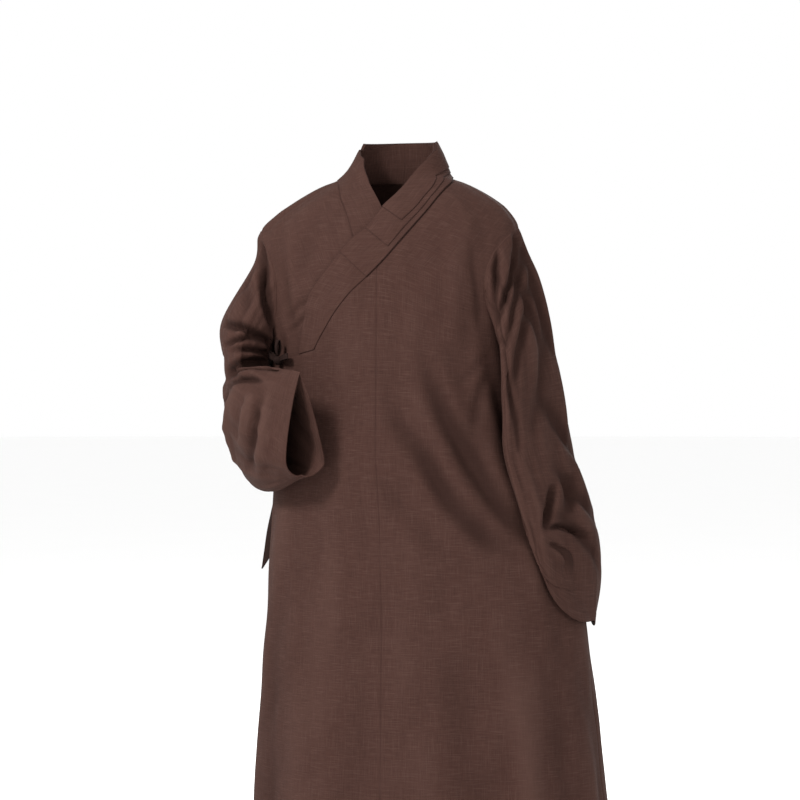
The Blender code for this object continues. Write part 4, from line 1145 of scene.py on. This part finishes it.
def streaks(tree, threads, scale_across, scale_along, low, high):
    """Noise drawn out along one thread direction, from 0 below low to 1 above high."""
    mapping = add_node(tree, "ShaderNodeMapping", {"Scale": (scale_across, scale_along, 1.0)})
    tree.links.new(threads, mapping.inputs["Vector"])
    noise = add_node(tree, "ShaderNodeTexNoise",
                     {"Scale": 1.0, "Detail": 2.0, "Roughness": 0.55}, noise_dimensions="2D")
    tree.links.new(mapping.outputs[0], noise.inputs["Vector"])
    ramp = add_node(tree, "ShaderNodeMapRange", {"From Min": low, "From Max": high})
    tree.links.new(noise.outputs["Fac"], ramp.inputs["Value"])
    return ramp.outputs[0]


def cloth_material(name, warp, weft, slub, shade, seam_share):
    """Slubby plain weave on the thread map, with dark seams, painted shade in crease troughs, a
    painted highlight on their ridges and a faint bloom of fibres.
    """
    material = bpy.data.materials.new(name)
    material.use_nodes = True
    tree = material.node_tree
    shader = tree.nodes["Principled BSDF"]
    shader.inputs["Roughness"].default_value = 0.85
    shader.inputs["Specular IOR Level"].default_value = 0.05
    shader.inputs["Sheen Weight"].default_value = 0.005
    shader.inputs["Sheen Roughness"].default_value = 0.45
    shader.inputs["Sheen Tint"].default_value = (0.95, 0.62, 0.50, 1.0)
    uv = add_node(tree, "ShaderNodeUVMap", uv_map="threads")
    threads = uv.outputs[0]
    place = add_node(tree, "ShaderNodeTexCoord")
    broad = add_node(tree, "ShaderNodeTexNoise", {"Scale": 5.0, "Detail": 3.0, "Roughness": 0.5})
    tree.links.new(place.outputs["Object"], broad.inputs["Vector"])
    tones = {"warp": warp, "weft": weft, "slub": slub, "shade": shade}
    colour = mix_colour(tree, broad.outputs["Fac"], (*warp, 1.0), (*weft, 1.0))
    drawn = []
    for across, along, low, high, share, tone in THREADS:
        drawn.append(streaks(tree, threads, across, along, low, high))
        amount = maths(tree, "MULTIPLY", drawn[-1], share)
        colour = mix_colour(tree, amount, colour, (*tones[tone], 1.0))
    edge = add_node(tree, "ShaderNodeAttribute", attribute_name="edge")
    seam = add_node(tree, "ShaderNodeMapRange",
                    {"From Min": 0.0004, "From Max": 0.0018, "To Min": seam_share, "To Max": 0.0})
    tree.links.new(edge.outputs["Fac"], seam.inputs["Value"])
    colour = mix_colour(tree, seam.outputs[0], colour, (*shade, 1.0))
    # Painted shade darkens the troughs of creases and a painted highlight lightens their ridges, from
    # the depth stored with each point
    fold_shading = add_node(tree, "ShaderNodeAttribute", attribute_name="fold_shading")
    trough = add_node(tree, "ShaderNodeMapRange", {"From Min": 0.05, "From Max": 1.0,
                                                   "To Min": 0.0, "To Max": 0.72})
    ridge = add_node(tree, "ShaderNodeMapRange", {"From Min": -0.05, "From Max": -0.7,
                                                  "To Min": 0.0, "To Max": 0.35})
    tree.links.new(fold_shading.outputs["Fac"], trough.inputs["Value"])
    tree.links.new(fold_shading.outputs["Fac"], ridge.inputs["Value"])
    deep = [TROUGH_SHADE_TONE * channel for channel in warp]
    colour = mix_colour(tree, trough.outputs[0], colour, (*deep, 1.0))
    colour = mix_colour(tree, ridge.outputs[0], colour, (*slub, 1.0))
    tree.links.new(colour, shader.inputs["Base Color"])
    warp_wave = add_node(tree, "ShaderNodeTexWave", {"Scale": 190.0, "Distortion": 0.6},
                         bands_direction="X")
    weft_wave = add_node(tree, "ShaderNodeTexWave", {"Scale": 190.0, "Distortion": 0.6},
                         bands_direction="Y")
    tree.links.new(threads, warp_wave.inputs["Vector"])
    tree.links.new(threads, weft_wave.inputs["Vector"])
    weave = maths(tree, "MULTIPLY", warp_wave.outputs["Fac"], weft_wave.outputs["Fac"])
    relief = weave
    for number, rise in RAISED_THREADS:
        relief = maths(tree, "MULTIPLY_ADD", drawn[number], rise, relief)
    bump = add_node(tree, "ShaderNodeBump", {"Strength": 0.30, "Distance": 0.0004})
    tree.links.new(relief, bump.inputs["Height"])
    tree.links.new(bump.outputs[0], shader.inputs["Normal"])
    return material


def robe_material(name):
    """The robe's slot of cloth, made once and then shared."""
    found = bpy.data.materials.get(name)
    if found:
        return found
    tones = colours()
    # The tape colour carries painted shade; its dark threads are darker still
    if name == "tie_tape":
        dark = [0.6 * channel for channel in tones.tape]
        return cloth_material(name, tones.tape, tones.tape, tones.shade, dark, 0.5)
    seam_share = 0.50 if name == "collar_weave" else 0.32
    return cloth_material(name, tones.warp, tones.weft, tones.slub, tones.shade, seam_share)


class ROBE_OT_body(Operator):
    """Fronts, overlap, backs and sleeves, which share the armhole seams"""

    bl_idname = "robe.body"
    bl_label = "Panels and sleeves"

    def execute(self, context):
        cloth = robe_material("robe_weave")
        left = sleeve_surface(1.0, LEFT_SLEEVE, LEFT_SLEEVE_CREASES, 0.0)
        right = sleeve_surface(-1.0, RIGHT_SLEEVE, RIGHT_SLEEVE_CREASES, RIGHT_WAVE_START)
        left_mitre = mitres(1.0, left[1])
        right_mitre = mitres(-1.0, right[1])
        height = panel_heights()
        corner = seam_corner()
        sewn_left, _ = band_curve(LEFT_BAND, height)
        inner = np.where(height > corner, sewn_left[:, 0], centre_angles(height))
        inner[-1] = LEFT_CORNER
        finish_piece(panel_piece("front_left", 1.0, True, inner, left_mitre, cloth),
                     "front_left")
        inner = view_angle(np.interp(height, UNDER_EDGE[:, 0], UNDER_EDGE[:, 1]), height)
        sewn_right, _ = band_curve(RIGHT_BAND, height)
        inner = np.where(height >= RIGHT_BAND[-1, 3], sewn_right[:, 0], inner)
        inner[-1] = RIGHT_CORNER
        finish_piece(panel_piece("front_right", -1.0, True, inner, right_mitre, cloth, under_inset),
                     "front_right")
        back = np.full(len(height), -0.5 * math.pi)
        finish_piece(panel_piece("back_left", 1.0, False, back, left_mitre, cloth),
                     "back_left")
        finish_piece(panel_piece("back_right", -1.0, False, back + 2.0 * math.pi, right_mitre, cloth),
                     "back_right")
        finish_piece(sleeve_piece("sleeve_left", left, left_mitre, cloth),
                     "sleeve_left")
        finish_piece(sleeve_piece("sleeve_right", right, right_mitre, cloth),
                     "sleeve_right")
        return {"FINISHED"}


class ROBE_OT_overlap(Operator):
    """Outer right front that hangs from the collar band, over the under front"""

    bl_idname = "robe.overlap"
    bl_label = "Overlap"

    def execute(self, context):
        top = overlap_top()
        rows = HEM + (seam_corner() - HEM) * seam_spread(BELOW_CELLS, False, True)
        part = ((rows - HEM) / (rows[-1] - HEM))[:, None]
        height = HEM + part * (top[:, 1] - HEM)[None, :]
        share = (top[:, 0] - top[0, 0]) / (top[-1, 0] - top[0, 0])
        first = centre_angles(height[:, 0])[:, None]
        angle = first + share[None, :] * (top[-1, 0] - first)
        outer, normals, relief = creased_trunk(angle, height, overlap_out(angle))
        edge = edge_distance(outer, ("last_row", "first_column"))
        outer = seam_groove(outer, normals, edge)
        outer = hem_turn(outer, normals, height)
        threads = panel_threads(trunk_plain(angle, height), False)
        piece = shell_object("cloth_front_overlap", outer, outer - sizes().wall * normals, False,
                             threads, edge, robe_material("robe_weave"), relief)
        finish_piece(piece, "front_overlap")
        return {"FINISHED"}


class ROBE_OT_collar(Operator):
    """Both collar bands and the three stepped layers on the left one"""

    bl_idname = "robe.collar"
    bl_label = "Collar"

    def execute(self, context):
        cloth = robe_material("collar_weave")
        rise = sizes().band_wall - sizes().wall
        left = left_path(-0.5 * math.pi)
        finish_piece(band_piece("collar_band_left", left, 1.0, rise, sizes().band_wall, cloth,
                                seams=("first_row", "last_row", "last_column")),
                     "collar_band_left")
        finish_piece(band_piece("collar_band_right", right_path(), 1.0, rise, sizes().band_wall,
                                cloth, inset=under_inset, seams=("first_row", "last_column")),
                     "collar_band_right")
        sewn, free = left_path(LAYER_START)
        layers = zip(LAYER_ENDS, LAYER_WIDTHS)
        for number, (end, width) in enumerate(layers, start=1):
            lift = rise + (4 - number) * (sizes().layer_wall + LAYER_GAP)
            keep = int(np.nonzero(sewn[:, 1] >= end)[0][-1]) + 1
            piece = band_piece(f"collar_layer_{number}", (sewn[:keep], free[:keep]), width, lift,
                               sizes().layer_wall, cloth)
            finish_piece(piece, f"collar_layer_{number}")
        return {"FINISHED"}


class ROBE_OT_ties(Operator):
    """Knot with its loops, the long side tie and the knot button"""

    bl_idname = "robe.ties"
    bl_label = "Ties"

    def execute(self, context):
        tape = robe_material("tie_tape")
        middle, across, up, ahead = tie_frame()
        knot = knot_piece("cloth_tie_knot", middle, KNOT_RADIUS, 0.92, 0.07,
                          (across, up, ahead), tape)
        finish_piece(knot, "tie_knot")
        for number, turn in enumerate(LOOP_TURNS, start=1):
            piece = loop_piece(f"cloth_tie_loop_{number}", turn, tape)
            finish_piece(piece, f"tie_loop_{number}")
        finish_piece(side_tie_piece(tape), "side_tie")
        button, out = trunk(BUTTON_ANGLE, BUTTON_HEIGHT, BUTTON_RADIUS + SEAM_GAP)
        aside = unit(np.cross(out, np.array([0.0, 0.0, 1.0])))
        ways = (aside, np.cross(out, aside), out)
        piece = knot_piece("cloth_knot_button", button, BUTTON_RADIUS, 0.9, 0.06, ways, tape)
        finish_piece(piece, "knot_button")
        return {"FINISHED"}


def soft_light(name, place, aim, size, energy):
    """Square area light that faces a point."""
    lamp = bpy.data.lights.new(name, "AREA")
    lamp.shape = "SQUARE"
    lamp.size = size
    lamp.energy = energy
    holder = bpy.data.objects.new(name, lamp)
    bpy.context.scene.collection.objects.link(holder)
    ahead = np.array(aim) - np.array(place)
    flat = math.hypot(ahead[0], ahead[1])
    holder.location = place
    holder.rotation_euler = (math.atan2(flat, -ahead[2]), 0.0, math.atan2(-ahead[0], ahead[1]))
    return holder


class ROBE_OT_stage(Operator):
    """Pale floor, soft studio light and the camera at the quarter view"""

    bl_idname = "robe.stage"
    bl_label = "Studio"

    def execute(self, context):
        turn = np.arange(FLOOR_SIDES) * 2.0 * math.pi / FLOOR_SIDES
        rim = np.stack([FLOOR_RADIUS * np.cos(turn), FLOOR_RADIUS * np.sin(turn),
                        np.full(FLOOR_SIDES, HEM - FLOOR_DROP)], -1)
        mesh = bpy.data.meshes.new("studio_floor")
        mesh.from_pydata(rim.tolist(), [], [list(range(FLOOR_SIDES))])
        material = bpy.data.materials.new("studio_floor")
        material.use_nodes = True
        tree = material.node_tree
        shader = tree.nodes["Principled BSDF"]
        shader.inputs["Roughness"].default_value = 0.9
        place = add_node(tree, "ShaderNodeTexCoord")
        grain = add_node(tree, "ShaderNodeTexNoise", {"Scale": 2.0, "Detail": 2.0})
        tree.links.new(place.outputs["Object"], grain.inputs["Vector"])
        tone = colours().floor
        darker = [0.985 * channel for channel in tone]
        colour = mix_colour(tree, grain.outputs["Fac"], (*tone, 1.0), (*darker, 1.0))
        tree.links.new(colour, shader.inputs["Base Color"])
        mesh.materials.append(material)
        floor = bpy.data.objects.new("studio_floor", mesh)
        context.scene.collection.objects.link(floor)

        for name, spot, size, energy in LIGHTS:
            soft_light(name, spot, LIGHT_AIM, size, energy)
        world = bpy.data.worlds.new("studio_air")
        world.use_nodes = True
        world.node_tree.nodes["Background"].inputs[0].default_value = (1.0, 1.0, 1.0, 1.0)
        world.node_tree.nodes["Background"].inputs[1].default_value = 1.0
        context.scene.world = world
        context.scene.view_settings.view_transform = "Standard"

        lens = bpy.data.cameras.new("quarter_view")
        lens.lens = CAMERA_LENS
        lens.clip_end = 200.0
        camera = bpy.data.objects.new("quarter_view", lens)
        context.scene.collection.objects.link(camera)
        camera.location = (CAMERA_AIM[0] + CAMERA_DISTANCE * math.sin(VIEW_TURN),
                           CAMERA_AIM[1] - CAMERA_DISTANCE * math.cos(VIEW_TURN), CAMERA_AIM[2])
        camera.rotation_euler = (math.radians(90.0), 0.0, VIEW_TURN)
        context.scene.camera = camera
        return {"FINISHED"}


class ROBE_PT_sidebar(Panel):
    """Sizes, colours and building steps of the robe"""

    bl_label = "Robe"
    bl_idname = "ROBE_PT_sidebar"
    bl_space_type = "VIEW_3D"
    bl_region_type = "UI"
    bl_category = "Robe"

    def draw(self, context):
        column = self.layout.column()
        for group in (context.scene.robe_sizes, context.scene.robe_colours):
            for name in group.__annotations__:
                column.prop(group, name)
        for step in STEPS:
            column.operator(step.bl_idname)


STEPS = (ROBE_OT_body, ROBE_OT_overlap, ROBE_OT_collar, ROBE_OT_ties, ROBE_OT_stage)
CLASSES = (RobeSizes, RobeColours, *STEPS, ROBE_PT_sidebar)


def register():
    """Make the sizes, colours, operators and panel known to Blender."""
    for item in CLASSES:
        bpy.utils.register_class(item)
    bpy.types.Scene.robe_sizes = PointerProperty(type=RobeSizes)
    bpy.types.Scene.robe_colours = PointerProperty(type=RobeColours)


def unregister():
    """Take the sizes, colours, operators and panel out of Blender."""
    del bpy.types.Scene.robe_colours
    del bpy.types.Scene.robe_sizes
    for item in reversed(CLASSES):
        bpy.utils.unregister_class(item)


def main():
    """Build every piece in order."""
    register()
    bpy.ops.robe.body()
    bpy.ops.robe.overlap()
    bpy.ops.robe.collar()
    bpy.ops.robe.ties()
    bpy.ops.robe.stage()


if __name__ == "__main__":
    main()
